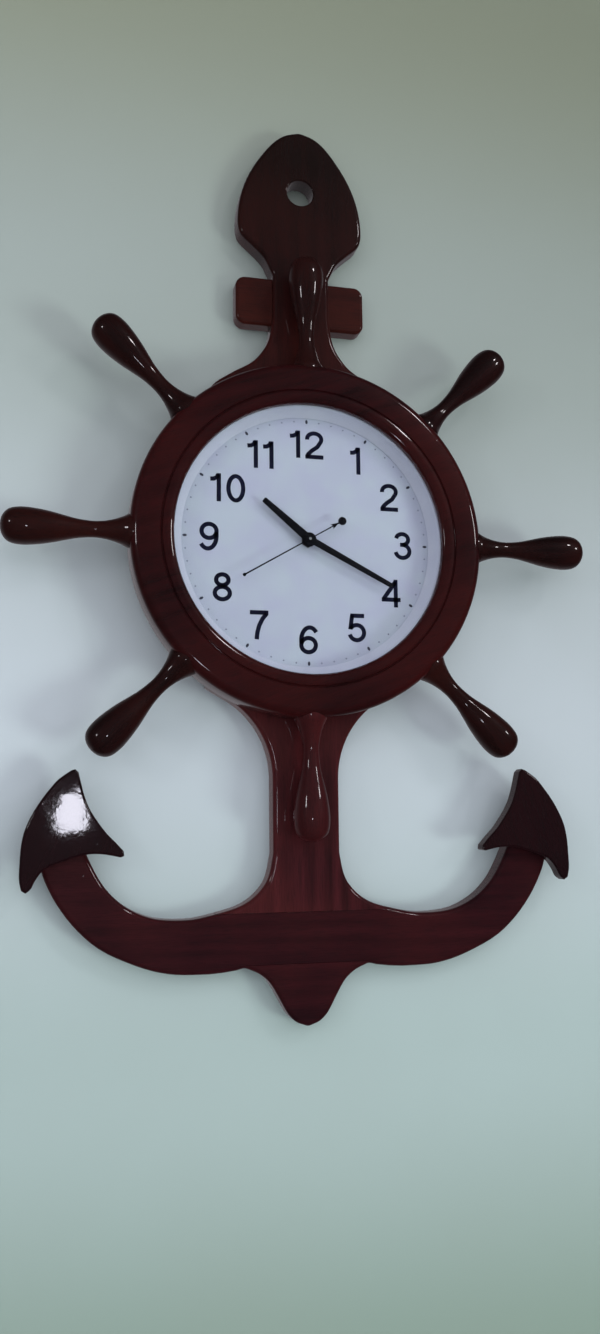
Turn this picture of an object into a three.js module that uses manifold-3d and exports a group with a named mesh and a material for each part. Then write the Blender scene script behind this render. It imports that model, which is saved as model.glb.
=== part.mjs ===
// Wooden wall clock: a ship's wheel on an anchor, with a quartz clock in the wheel.
// Units are millimetres. X is right, Z is up, and the clock faces -Y with its back on Y = 0.
// Everything is laid out from the dial's centre. The finished group is then lowered, so that
// its origin is the point it hangs from: the top of the hanging hole, against the wall.
import * as THREE from "three";
import { mergeVertices } from "three/addons/utils/BufferGeometryUtils.js";
import Module from "manifold-3d";

const wasm = await Module();
wasm.setup();

// Clearances and overruns
const seatGap = 0.3;
const runGap = 0.25;
const overrun = 5;
const weldDistance = 0.0005;

// Boards of the anchor
const boardThick = 18;
const boardEase = 4;
const glueGap = 0.3;
const neckHalf = 26.5;
const neckRise = 95;
const neckLength = 37;
const neckFlareHalf = 90.5;
const headHalf = 59;
const headHeight = 145;
const boardInset = 1.5;
const blankTail = 14;
const holeRadius = 12.5;
const holeRise = 84;
const headShares = [
  [0, 1], [0.22, 0.976], [0.45, 0.903], [0.75, 0.731], [0.932, 0.557], [1, 0.386],
  [0.964, 0.272], [0.797, 0.203], [0.576, 0.114],
];
const neckFlareShares = [
  [0.03, 0.82], [0.1, 0.655], [0.29, 0.47], [0.56, 0.345], [0.84, 0.2], [0.965, 0.07],
];

// Shank, arms and crown
const shankHalf = 29.5;
const shankFillet = 80;
const shankTuck = 2;
const shankEndRise = 100;
const anchorReach = 213;
const armHalfSpan = 223;
const armRise = 138;
const armJointRise = 49;
const crownNotchHalf = 54;
const crownJointRise = 6;
const crownDrop = 46;
const innerArmShares = [
  [0.147, 0.594], [0.178, 0.5], [0.253, 0.405], [0.395, 0.341], [0.484, 0.326], [0.594, 0.343],
  [0.695, 0.417], [0.775, 0.543], [0.834, 0.717], [0.888, 0.915], [0.935, 0.975], [0.987, 0.91],
  [1, 0.8],
];
const outerArmShares = [
  [1, 0.638], [0.926, 0.399], [0.789, 0.174], [0.583, 0.029], [0.439, 0], [0.327, 0.005],
];
const crownNotchRise = 3.5;
const crownShares = [[0.8, 0.02], [0.62, 0.19], [0.48, 0.45], [0.324, 0.77], [0.176, 0.93], [0, 1]];
const dowelRadius = 5;
const dowelLength = 46;
const dowelSpread = 15;

// Stock: the short bar across the neck
const stockHalf = 60.5;
const stockHeight = 45.5;
const stockDrop = 1.5;
const stockCorner = 9;
const stockThick = 14;
const stockEase = 3;
const stockLap = 8;

// Flukes: the arrow heads on the arms
const flukeSetback = 67;
const flukeWidth = 84;
const flukeLift = 71;
const flukeHeight = 99;
const flukeThick = 12.5;
const flukeEase = 2.4;
const flukeShares = [
  [0.462, 0.975], [0.494, 1], [0.54, 0.985], [0.649, 0.919], [0.746, 0.823], [0.838, 0.714],
  [0.907, 0.61], [0.967, 0.483], [0.993, 0.354], [1, 0.226], [0.999, 0.089], [0.98, 0.022],
  [0.94, 0], [0.9, 0.025], [0.851, 0.1], [0.792, 0.169], [0.571, 0.255], [0.357, 0.303],
  [0.19, 0.298], [0.055, 0.274], [0.012, 0.285], [0.018, 0.325], [0.093, 0.394], [0.179, 0.467],
  [0.277, 0.576], [0.357, 0.685], [0.413, 0.812], [0.446, 0.921],
];

// Rim of the wheel
const rimSides = 48;
const rimRadius = 157;
const rimWidth = 37.3;
const rebateWidth = 6.8;
const rimLip = 6;
const rimRound = 8.5;
const rimBackChamfer = 1.5;
const rimFaceCrown = 1;
const beadWidth = 11.3;
const rimGrooveDepth = 1.6;
const rimGrooveHalf = 1.2;
const rimLipEdge = 2;
const beadRise = 0.9;

// Handles of the wheel
const handleCount = 8;
const handleSides = 10;
const handleLift = 1.3;
const footStep = 1.2;
const handleWaist = 7;
const handleBulb = 15.7;
const handleLength = 105;
const tenonRadius = 6;
const tenonLength = 14;
const handleShares = [
  [0.06, 0.6], [0.13, 0.27], [0.2, 0.07], [0.286, 0], [0.4, 0.13], [0.5, 0.39], [0.61, 0.7],
  [0.73, 0.93], [0.84, 1], [0.93, 0.78], [0.983, 0.12],
];

// Wood screws, driven from behind
const screwHeadRadius = 4;
const screwHeadDepth = 2.3;
const screwRadius = 1.9;
const screwPoint = 3;
const screwSides = 6;
const rimScrewBite = 12;
const rimScrewX = 30;
const rimScrewInset = 10;
const flukeScrewCover = 4.8;
const flukeScrewPlaceShares = [[0.56, 0.545], [0.607, 0.365]];

// Glass, dial ring, dial and backing
const discSides = 32;
const glassFit = 0.6;
const glassThick = 2;
const glassAir = 1.2;
const dialSetback = 12.3;
const dialThick = 1;
const ringInset = 0.5;
const ringSlope = 7.2;
const ringWall = 1.5;
const backingThick = 3;

// Clips that hold the dial in the rim
const clipAngle = 20;
const clipThick = 1.5;
const clipWidth = 12;
const clipReach = 5;
const clipLap = 16.5;
const clipScrewLength = 12;

// Movement case
const caseCorner = 4;
const caseWall = 1.5;
const washerThick = 1;
const washerRadius = 10;
const stemRadius = 4;
const stemFit = 0.4;
const stemSpare = 2.4;
const nutAcrossHalf = 5.5;
const nutThick = 2.2;
const trainWallZ = 10.6;
const trainWallThick = 1;
const caseSplitShare = 0.5;
const pivotDepth = 0.6;
const pivotReach = 0.3;

// Battery and contacts
const batteryRadius = 7.1;
const batteryBody = 49.2;
const nubRadius = 2.7;
const nubLength = 1.3;
const batteryRoom = 1.1;
const contactRoom = 1.6;
const contactThick = 0.5;
const contactHalf = 4;
const springBase = 3;
const springTip = 2;

// Gear train
const gearThick = 0.9;
const layerCount = 6;
const layerPitch = 1.45;
const layerStart = 0.4;
const arborRadius = 0.5;
const arborSides = 8;
const toothRootShare = 0.3;
const toothTipShare = 0.12;
const addendumShare = 0.9;
const dedendumShare = 1.25;
const rotorTeeth = 6;
const intermediateTeeth = 30;
const intermediatePinionTeeth = 6;
const secondTeeth = 36;
const secondPinionTeeth = 6;
const thirdTeeth = 45;
const thirdPinionTeeth = 6;
const centreTeeth = 48;
const cannonTeeth = 10;
const motionTeeth = 30;
const motionPinionTeeth = 8;
const hourTeeth = 32;
const settingTeeth = 12;
const trainDistance = 9;
const thirdAngle = 0;
const intermediateAngle = 150;
const rotorDistance = 7;
const rotorAngle = 120;
const motionDistance = 8;
const motionAngle = 60;
const settingAngle = 30;
const motionStudRadius = 0.55;
const motionNeckRadius = 1.25;
const minuteTubeRadius = 1.4;
const hourTubeRadius = 2.5;
const settingArborRadius = 1.1;
const knobRadius = 6;
const knobThick = 5;
const knobRibs = 12;
const knobRibDepth = 0.5;

// Stepper motor and circuit board
const motorRoom = 3.9;
const magnetRadius = 2.3;
const magnetThick = 2.2;
const magnetAir = 0.6;
const magnetBackGap = 1.3;
const statorThick = 1;
const statorMargin = 2.5;
const statorWidth = 29;
const statorHeight = 15.4;
const statorLeg = 3.8;
const statorCheek = 1;
const coreHeight = 2;
const coilAir = 0.1;
const coilFlange = 0.8;
const flangeLip = 0.25;
const coilBore = 1.4;
const circuitMargin = 1.5;
const circuitWidth = 17;
const circuitHeight = 10.5;
const circuitThick = 1;
const chipRadius = 2.6;
const chipHeight = 0.8;
const postRadius = 1.2;
const postInset = 2.2;

// Hands, at twenty to twenty past ten
const handThick = 0.6;
const handSpacing = 1.6;
const handStart = 1.2;
const handHubRadius = 4.6;
const hourHandLength = 53;
const hourHandHalf = 3.3;
const hourTipShare = 0.62;
const hourAngle = 309.8;
const minuteHandLength = 85;
const minuteHandHalf = 2.7;
const minuteTipShare = 0.7;
const minuteAngle = 117.5;
const secondHandLength = 69;
const secondHandHalf = 0.6;
const secondTail = 34;
const secondBallRadius = 3.7;
const secondHubRadius = 2.4;
const arrowPlaceShare = 2.6;
const arrowHalfShare = 0.6;
const arrowLengthShare = 1.2;
const secondAngle = 239.5;

// Places in the plane of the dial, worked out from the sizes above
const rimBore = rimRadius - rimWidth;
const rimRebate = rimBore + rebateWidth;
const rimGrooveRadius = rimBore + beadWidth;
const boardInnerZ = rimRebate + boardInset;
const headBaseZ = rimRadius + neckRise;
const neckFlareZ = headBaseZ - neckLength;
const holeCentreZ = headBaseZ + holeRise;
const hangZ = holeCentreZ + holeRadius;
const stockTopZ = headBaseZ - stockDrop;
const stockBottomZ = stockTopZ - stockHeight;
const shankRimRadius = rimRadius - shankTuck;
const armBottomZ = rimRadius + anchorReach;
const shankEndZ = armBottomZ - shankEndRise;
const armJointZ = armBottomZ - armJointRise;
const armValleyShare = innerArmShares.reduce((low, next) => (next[1] < low[1] ? next : low))[0];
const armJointHalf = armHalfSpan * armValleyShare;
const crownJointZ = armBottomZ - crownJointRise;
const flukeInnerX = armHalfSpan - flukeSetback;
const flukeBottomZ = armBottomZ - flukeLift;
const rimScrewZ = boardInnerZ + rimScrewInset;
const handleFoot = handleBulb - footStep;
const glassRadius = rimRebate - glassFit;
const ringLip = rimBore - ringInset;
const ringInner = ringLip - ringSlope;
const clipLegRadius = rimRebate - clipReach;
const clipEndRadius = rimRebate + clipLap;
const clipScrewRadius = (rimRebate + clipEndRadius) / 2;
const stemHoleRadius = stemRadius + stemFit;
const stemBore = hourTubeRadius + seatGap;
const caseHalfX = batteryBody / 2 + nubLength + contactRoom + caseWall;
const batteryTopZ = -(trainWallZ + trainWallThick + 2 * seatGap);
const batteryZ = batteryTopZ - batteryRadius;
const caseHalfZ = batteryRadius - batteryZ + batteryRoom + caseWall;
const innerHalfX = caseHalfX - caseWall;
const innerHalfZ = caseHalfZ - caseWall;
const thirdPlace = polarPlace(trainDistance, thirdAngle);
const intermediatePlace = polarPlace(trainDistance, intermediateAngle);
const rotorPlace = polarPlace(rotorDistance, rotorAngle, intermediatePlace);
const motionPlace = polarPlace(motionDistance, motionAngle);
const motionModule = (2 * motionDistance) / (cannonTeeth + motionTeeth);
const settingDistance = (motionModule * (motionTeeth + settingTeeth)) / 2;
const settingPlace = polarPlace(settingDistance, settingAngle, motionPlace);
const statorBar = 2 * (magnetRadius + magnetAir + statorCheek);
const statorLeftX = statorMargin - innerHalfX;
const statorRightX = statorLeftX + statorWidth;
const statorBottomZ = rotorPlace[1] - statorBar / 2;
const statorTopZ = statorBottomZ + statorHeight;
const circuitRightX = innerHalfX - circuitMargin;
const circuitLeftX = circuitRightX - circuitWidth;
const circuitTopZ = innerHalfZ - circuitMargin;
const circuitBottomZ = circuitTopZ - circuitHeight;

// Depths, stacked from the boards to the glass and from the dial to the back of the case
const handStack = stemSpare + handStart + 2 * handSpacing + handThick + glassAir;
const rimScrewLength = boardThick + rimScrewBite;
const flukeScrewLength = boardThick + seatGap + flukeThick - flukeScrewCover;
const handleAxisY = -(boardThick + handleLift + handleBulb);
const rimBackY = -(boardThick + seatGap);
const dialFrontY = rimBackY - dialSetback;
const nutFrontY = dialFrontY - seatGap - nutThick;
const stemTipY = nutFrontY - stemSpare;
const hourHandY = stemTipY - handStart;
const minuteHandY = hourHandY - handSpacing;
const secondHandY = minuteHandY - handSpacing;
const glassBackY = nutFrontY - handStack;
const glassFrontY = glassBackY - glassThick;
const rimLipBackY = glassFrontY - seatGap;
const rimFrontY = rimLipBackY - rimLip;
const ringFrontY = glassBackY + seatGap;
const ringBackY = dialFrontY - seatGap;
const dialBackY = dialFrontY + dialThick;
const backingFrontY = dialBackY + seatGap;
const backingBackY = backingFrontY + backingThick;
const washerFrontY = backingBackY + seatGap;
const caseDepth = 2 * caseWall + layerStart + layerCount * layerPitch + motorRoom;
const caseFrontY = washerFrontY + washerThick + seatGap;
const caseBackY = caseFrontY + caseDepth;
const innerFrontY = caseFrontY + caseWall;
const innerBackY = caseBackY - caseWall;
const splitY = caseFrontY + caseDepth * caseSplitShare;
const batteryY = innerFrontY + seatGap + batteryRadius;
const magnetBackY = innerBackY - magnetBackGap;
const statorY = magnetBackY - magnetThick / 2 - statorThick / 2;
const statorBackY = statorY + statorThick;
const coilRadius = magnetBackGap + magnetThick / 2 - coilAir;
const windingRadius = coilRadius - flangeLip;

// Colours and surfaces
const darkWood = { color: 0x2d1214, roughness: 0.18, metalness: 0 };
const warmWood = { color: 0x4a1a12, roughness: 0.16, metalness: 0 };
const clearGlass = { color: 0xdfe8ee, roughness: 0.03, metalness: 0, opacity: 0.3, transparent: true };
const whitePlastic = { color: 0xd9dae2, roughness: 0.25, metalness: 0 };
const dialWhite = { color: 0xb9c0d2, roughness: 0.55, metalness: 0 };
const hardboard = { color: 0x6d4c33, roughness: 0.85, metalness: 0 };
const steel = { color: 0xb4b6b8, roughness: 0.35, metalness: 1 };
const brass = { color: 0xb08a46, roughness: 0.3, metalness: 1 };
const blackPlastic = { color: 0x17181b, roughness: 0.45, metalness: 0 };
const blackPaint = { color: 0x0b0b0f, roughness: 0.35, metalness: 0 };
const gearPlastic = { color: 0xe8e4d8, roughness: 0.5, metalness: 0 };
const copper = { color: 0xa6572b, roughness: 0.35, metalness: 0.8 };
const boardGreen = { color: 0x1f5a3a, roughness: 0.5, metalness: 0 };
const rubber = { color: 0x202020, roughness: 0.9, metalness: 0 };
const batterySkin = { color: 0x3a4a6b, roughness: 0.35, metalness: 0.2 };

// A place at a distance and angle in the plane of the dial, from a start place
function polarPlace(distance, degrees, start = [0, 0]) {
  const angle = THREE.MathUtils.degToRad(degrees);
  return [start[0] + distance * Math.cos(angle), start[1] + distance * Math.sin(angle)];
}

// A closed three.js geometry as a solid whose faces point out
function toSolid(geometry) {
  geometry.deleteAttribute("normal");
  geometry.deleteAttribute("uv");
  const welded = mergeVertices(geometry, weldDistance);
  const corners = welded.getAttribute("position").array;
  const index = welded.getIndex().array;
  const faces = [];
  let volume = 0;
  const [p, q, r] = [new THREE.Vector3(), new THREE.Vector3(), new THREE.Vector3()];
  for (let i = 0; i < index.length; i += 3) {
    const [a, b, c] = [index[i], index[i + 1], index[i + 2]];
    if (a === b || b === c || c === a) continue;
    faces.push(a, b, c);
    p.fromArray(corners, 3 * a);
    q.fromArray(corners, 3 * b);
    r.fromArray(corners, 3 * c);
    volume += p.dot(q.cross(r));
  }
  if (volume < 0) faces.reverse();
  const mesh = new wasm.Mesh({ numProp: 3, vertProperties: corners, triVerts: new Uint32Array(faces) });
  return new wasm.Manifold(mesh);
}

function toGeometry(solid) {
  const mesh = solid.getMesh();
  const geometry = new THREE.BufferGeometry();
  geometry.setAttribute("position", new THREE.BufferAttribute(mesh.vertProperties, 3));
  geometry.setIndex(new THREE.BufferAttribute(mesh.triVerts, 1));
  geometry.computeVertexNormals();
  return geometry;
}

// Form helpers, each with its axis or its thickness along Y
function turned(profile, sides) {
  const points = profile.map(([r, y]) => new THREE.Vector2(r, y));
  return toSolid(new THREE.LatheGeometry(points, sides));
}

function closed(profile) {
  return [...profile, profile[0]];
}

function rod(radius, fromY, toY, place = [0, 0], sides = arborSides) {
  const geometry = new THREE.CylinderGeometry(radius, radius, Math.abs(toY - fromY), sides);
  geometry.translate(place[0], (fromY + toY) / 2, place[1]);
  return toSolid(geometry);
}

function tube(outer, bore, fromY, toY, sides) {
  return turned(closed([[bore, fromY], [outer, fromY], [outer, toY], [bore, toY]]), sides);
}

function block(x0, x1, y0, y1, z0, z1) {
  const geometry = new THREE.BoxGeometry(x1 - x0, y1 - y0, z1 - z0);
  geometry.translate((x0 + x1) / 2, (y0 + y1) / 2, (z0 + z1) / 2);
  return toSolid(geometry);
}

function plate(points, frontY, backY) {
  const shape = new THREE.Shape(points.map(([x, z]) => new THREE.Vector2(x, z)));
  const geometry = new THREE.ExtrudeGeometry(shape, { depth: backY - frontY, bevelEnabled: false });
  geometry.rotateX(Math.PI / 2);
  geometry.translate(0, backY, 0);
  return toSolid(geometry);
}

// A board whose back is flat at backY and whose front edges are eased
function easedBoard(points, thick, ease, backY) {
  const shape = new THREE.Shape(points.map(([x, z]) => new THREE.Vector2(x, z)));
  const geometry = new THREE.ExtrudeGeometry(shape, {
    depth: thick - ease,
    bevelThickness: ease,
    bevelSize: ease,
    bevelOffset: -ease,
    bevelSegments: 2,
  });
  geometry.rotateX(Math.PI / 2);
  geometry.translate(0, backY, 0);
  const reach = Math.max(...points.flat().map(Math.abs)) + overrun;
  const behind = block(-reach, reach, backY, backY + ease + overrun, -reach, reach);
  return toSolid(geometry).subtract(behind);
}

function arcRun(cx, cy, radius, from, to, steps) {
  return Array.from({ length: steps + 1 }, (_, i) => {
    const angle = THREE.MathUtils.degToRad(from + ((to - from) * i) / steps);
    return [cx + radius * Math.cos(angle), cy + radius * Math.sin(angle)];
  });
}

function smoothRun(points, stepsPerSpan) {
  const curve = new THREE.SplineCurve(points.map(([x, z]) => new THREE.Vector2(x, z)));
  return curve.getPoints((points.length - 1) * stepsPerSpan).map((p) => [p.x, p.y]);
}

function placed(shares, x0, width, z0, height) {
  return shares.map(([u, v]) => [x0 + u * width, z0 + v * height]);
}

// The left half of an outline mirrors the right half, which runs from axis to axis
function wholeOutline(rightHalf) {
  const left = rightHalf.slice(1, -1).reverse().map(([x, z]) => [-x, z]);
  return [...rightHalf, ...left];
}

function roundedBox(x0, x1, z0, z1, radius, steps) {
  return [
    ...arcRun(x1 - radius, z1 - radius, radius, 0, 90, steps),
    ...arcRun(x0 + radius, z1 - radius, radius, 90, 180, steps),
    ...arcRun(x0 + radius, z0 + radius, radius, 180, 270, steps),
    ...arcRun(x1 - radius, z0 + radius, radius, 270, 360, steps),
  ];
}

// Wood screw with its head at headY, pointing to the front; clear widens it into its hole
function woodScrew(length, headY, clear, place) {
  const profile = [
    [0, headY + clear],
    [screwHeadRadius + clear, headY + clear],
    [screwRadius + clear, headY - screwHeadDepth - clear],
    [screwRadius + clear, headY - length + screwPoint - clear],
    [0, headY - length - clear],
  ];
  return turned(profile, screwSides).translate([place[0], 0, place[1]]);
}

// Screws through the boards into the rim, clockwise from the upper left
function rimScrewPlaces() {
  return [[-1, 1], [1, 1], [1, -1], [-1, -1]].map(([x, z]) => [x * rimScrewX, z * rimScrewZ]);
}

// The pear-shaped head with the neck that runs down behind the rim
function headOutline() {
  const head = placed(headShares, 0, headHalf, headBaseZ, headHeight);
  const flareWidth = neckFlareHalf - neckHalf;
  const flare = placed(neckFlareShares, neckHalf, flareWidth, boardInnerZ, neckFlareZ - boardInnerZ);
  return wholeOutline([
    ...smoothRun([...head, [neckHalf, headBaseZ]], 2),
    ...smoothRun([[neckHalf, neckFlareZ], ...flare, [neckFlareHalf, boardInnerZ]], 2),
    [neckFlareHalf, boardInnerZ - blankTail],
    [0, boardInnerZ - blankTail],
  ]);
}

// The tail of a blank, sawn off square where the board ends behind the rim
function boardWaste(fromZ, toZ) {
  return block(-rimRadius, rimRadius, -boardThick - overrun, boardEase + overrun, fromZ, toZ);
}

function headBoard() {
  const outline = headOutline();
  const lap = block(
    -headHalf - overrun, headHalf + overrun, -stockLap - glueGap / 2, overrun,
    stockBottomZ - glueGap, stockTopZ + glueGap,
  );
  const waste = boardWaste(boardInnerZ - blankTail - overrun, boardInnerZ);
  let board = easedBoard(outline, boardThick, boardEase, 0).subtract(lap).subtract(waste);
  board = board.subtract(rod(holeRadius, -boardThick - overrun, overrun, [0, holeCentreZ], 24));
  for (const side of [-1, 1]) {
    const hole = woodScrew(rimScrewLength, -seatGap, seatGap, [side * rimScrewX, rimScrewZ]);
    board = board.subtract(hole).subtract(rod(screwHeadRadius + seatGap, -seatGap, overrun,
      [side * rimScrewX, rimScrewZ], screwSides));
  }
  return board;
}

// The stock is half-lapped into the back of the neck and coped to its sides
function stockBar() {
  const outline = roundedBox(-stockHalf, stockHalf, stockBottomZ, stockTopZ, stockCorner, 4);
  const neck = plate(headOutline(), -stockThick - overrun, -stockLap + glueGap / 2);
  return easedBoard(outline, stockThick, stockEase, 0)
    .subtract(neck)
    .subtract(neck.translate([glueGap, 0, 0]))
    .subtract(neck.translate([-glueGap, 0, 0]));
}

// Shank, arms and crown are shaped as one blank and then parted at their glue joints
function anchorBlank() {
  const filletX = shankHalf + shankFillet;
  const filletZ = Math.sqrt((shankRimRadius + shankFillet) ** 2 - filletX ** 2);
  const tangent = THREE.MathUtils.radToDeg(Math.atan2(filletZ, filletX));
  const chord = THREE.MathUtils.radToDeg(Math.asin(boardInnerZ / shankRimRadius));
  const rimRun = arcRun(0, 0, shankRimRadius, -chord, -tangent, 4);
  const fillet = arcRun(filletX, -filletZ, shankFillet, 180 - tangent, 180, 7);
  const armTop = placed(innerArmShares, 0, armHalfSpan, -armBottomZ, armRise);
  const armUnder = placed(outerArmShares, 0, armHalfSpan, -armBottomZ, armRise);
  const notch = [crownNotchHalf, -armBottomZ + crownNotchRise];
  const crown = placed(crownShares, 0, crownNotchHalf, -armBottomZ, -crownDrop);
  const rightHalf = [
    [0, blankTail - boardInnerZ],
    [rimRun[0][0], blankTail - boardInnerZ],
    ...rimRun,
    ...fillet.slice(1),
    ...smoothRun([[shankHalf, -shankEndZ], ...armTop, ...armUnder, notch], 2),
    ...smoothRun([notch, ...crown], 2).slice(1),
  ];
  const waste = boardWaste(-boardInnerZ, blankTail + overrun - boardInnerZ);
  return easedBoard(wholeOutline(rightHalf), boardThick, boardEase, 0).subtract(waste);
}

function anchorBoards() {
  const blank = anchorBlank();
  const reach = armHalfSpan + overrun;
  const [front, back] = [-boardThick - overrun, overrun];
  const shankCut = (z) => block(-armJointHalf, armJointHalf, front, back, z, 0);
  const crownCut = (z) => block(-crownNotchHalf, crownNotchHalf, front, back, -armBottomZ - reach, z);
  const half = glueGap / 2;
  let shank = blank.intersect(shankCut(-armJointZ + half));
  let arms = blank.subtract(shankCut(-armJointZ - half)).subtract(crownCut(-crownJointZ + half));
  const crown = blank.intersect(crownCut(-crownJointZ - half));
  for (const side of [-1, 1]) {
    const hole = woodScrew(rimScrewLength, -seatGap, seatGap, [side * rimScrewX, -rimScrewZ]);
    shank = shank.subtract(hole).subtract(rod(screwHeadRadius + seatGap, -seatGap, overrun,
      [side * rimScrewX, -rimScrewZ], screwSides));
    const dowelHole = dowel(side, seatGap);
    shank = shank.subtract(dowelHole);
    arms = arms.subtract(dowelHole);
    for (const place of flukeScrewPlaces(side)) {
      arms = arms.subtract(woodScrew(flukeScrewLength, -seatGap, seatGap, place));
      arms = arms.subtract(rod(screwHeadRadius + seatGap, -seatGap, overrun, place, screwSides));
    }
  }
  return { shank, arms, crown };
}

// Dowels stand across the glue joint between shank and arms
function dowel(side, clear) {
  const geometry = new THREE.CylinderGeometry(
    dowelRadius + clear, dowelRadius + clear, dowelLength + 2 * clear, handleSides);
  geometry.rotateX(Math.PI / 2);
  geometry.translate(side * dowelSpread, -boardThick / 2, -armJointZ);
  return toSolid(geometry);
}

function flukeScrewPlaces(side) {
  return placed(flukeScrewPlaceShares, flukeInnerX, flukeWidth, -flukeBottomZ, flukeHeight)
    .map(([x, z]) => [side * x, z]);
}

function fluke(side) {
  const outline = placed(flukeShares, flukeInnerX, flukeWidth, -flukeBottomZ, flukeHeight)
    .map(([x, z]) => [side * x, z]);
  let solid = easedBoard(outline, flukeThick, flukeEase, -boardThick - seatGap);
  for (const place of flukeScrewPlaces(side)) {
    solid = solid.subtract(woodScrew(flukeScrewLength, -seatGap, seatGap, place));
  }
  return solid;
}

// Rim section, from the rebate at the back round the outside to the bead and the lip
function rimProfile(grow) {
  const corner = rimRadius - rimRound;
  const round = arcRun(corner, rimFrontY + rimRound, rimRound + grow, 0, -90, 3);
  return {
    outside: [
      [rimRadius - rimBackChamfer + grow, rimBackY + grow],
      [rimRadius + grow, rimBackY - rimBackChamfer + grow],
      ...round,
    ],
    face: [
      [(corner + rimGrooveRadius) / 2, rimFrontY - rimFaceCrown],
      [rimGrooveRadius + rimGrooveHalf, rimFrontY],
      [rimGrooveRadius, rimFrontY + rimGrooveDepth],
      [rimGrooveRadius - rimGrooveHalf, rimFrontY],
      [(rimGrooveRadius - rimGrooveHalf + rimBore) / 2, rimFrontY - beadRise],
      [rimBore + rimLipEdge, rimFrontY + rimLipEdge / 2],
      [rimBore, rimFrontY + 2 * rimLipEdge],
      [rimBore, rimLipBackY],
      [rimRebate, rimLipBackY],
      [rimRebate, rimBackY],
    ],
  };
}

function wheelRim() {
  const { outside, face } = rimProfile(0);
  let rim = turned(closed([...outside, ...face]), rimSides);
  const socket = tenonSolid(seatGap);
  for (let i = 0; i < handleCount; i += 1) {
    rim = rim.subtract(socket.rotate([0, (360 * i) / handleCount, 0]));
  }
  for (const place of rimScrewPlaces()) {
    rim = rim.subtract(woodScrew(rimScrewLength, -seatGap, seatGap, place));
  }
  for (const angle of clipAngles()) {
    rim = rim.subtract(clipScrew(seatGap).rotate([0, angle, 0]));
  }
  return rim;
}

// A handle is made standing on the rim at twelve o'clock and then turned about the dial's axis
function tenonSolid(clear) {
  const length = tenonLength + clear + (clear > 0 ? overrun : 0);
  const geometry = new THREE.CylinderGeometry(tenonRadius + clear, tenonRadius + clear, length, handleSides);
  geometry.rotateX(Math.PI / 2);
  geometry.translate(0, handleAxisY, rimRadius - tenonLength - clear + length / 2);
  return toSolid(geometry);
}

function handleSolid() {
  const belly = handleBulb - handleWaist;
  const foot = handleFoot - handleWaist;
  const waistShare = handleShares.find(([, v]) => v === 0)[0];
  const radii = handleShares
    .map(([u, v]) => [handleWaist + v * (u < waistShare ? foot : belly), u * handleLength]);
  const profile = [
    [0, -rimRound - overrun],
    [handleFoot, -rimRound - overrun],
    [handleFoot, seatGap],
    ...radii,
    [0, handleLength],
  ];
  const points = profile.map(([r, y]) => new THREE.Vector2(r, y));
  const geometry = new THREE.LatheGeometry(points, handleSides);
  geometry.rotateX(Math.PI / 2);
  geometry.translate(0, handleAxisY, rimRadius);
  const { outside } = rimProfile(seatGap);
  const inside = [[0, outside.at(-1)[1]], [0, outside[0][1]]];
  const envelope = turned([inside[1], ...outside, inside[0]], rimSides);
  return toSolid(geometry).subtract(envelope).add(tenonSolid(0));
}

// Clips lie on the back of the rim and reach in to the backing board
function clipAngles() {
  return [clipAngle, 180 - clipAngle, 180 + clipAngle, 360 - clipAngle];
}

function clipSolid() {
  const bentY = rimBackY + seatGap;
  const leaf = block(clipLegRadius, clipEndRadius, bentY, bentY + clipThick, -clipWidth / 2, clipWidth / 2);
  const leg = block(
    clipLegRadius, clipLegRadius + clipThick, backingBackY + seatGap, bentY + clipThick,
    -clipWidth / 2, clipWidth / 2,
  );
  return leaf.add(leg).subtract(clipScrew(seatGap));
}

function clipScrew(clear) {
  const headY = rimBackY + seatGap + clipThick + screwHeadDepth / 2;
  return woodScrew(clipScrewLength, headY, clear, [clipScrewRadius, 0]);
}

// Glass, ring, dial and backing drop into the rebate from behind
function glassDisc() {
  return rod(glassRadius, glassFrontY, glassBackY, [0, 0], discSides);
}

function dialRing() {
  const slope = (ringLip - ringInner) / (ringBackY - ringFrontY);
  return turned(closed([
    [ringInner, ringBackY],
    [ringLip, ringFrontY],
    [glassRadius, ringFrontY],
    [glassRadius, ringBackY],
    [glassRadius - ringWall, ringBackY],
    [glassRadius - ringWall, ringFrontY + ringWall],
    [ringLip + ringWall - slope * ringWall, ringFrontY + ringWall],
    [ringInner + ringWall, ringBackY],
  ]), discSides);
}

function dialPlate() {
  return tube(glassRadius, stemHoleRadius, dialFrontY, dialBackY, discSides);
}

function dialBacking() {
  return tube(glassRadius, stemHoleRadius, backingFrontY, backingBackY, discSides);
}

// Movement case: a front tray with the threaded stem, and a rear tray open over the battery
function tray(frontY, backY) {
  return plate(roundedBox(-caseHalfX, caseHalfX, -caseHalfZ, caseHalfZ, caseCorner, 2), frontY, backY);
}

function trayHollow(frontY, backY) {
  const radius = caseCorner - caseWall;
  return plate(roundedBox(-innerHalfX, innerHalfX, -innerHalfZ, innerHalfZ, radius, 2), frontY, backY);
}

function trainWall(frontY, backY) {
  const reach = innerHalfX + caseWall / 2;
  return block(-reach, reach, frontY, backY, -trainWallZ - trainWallThick, -trainWallZ);
}

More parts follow.
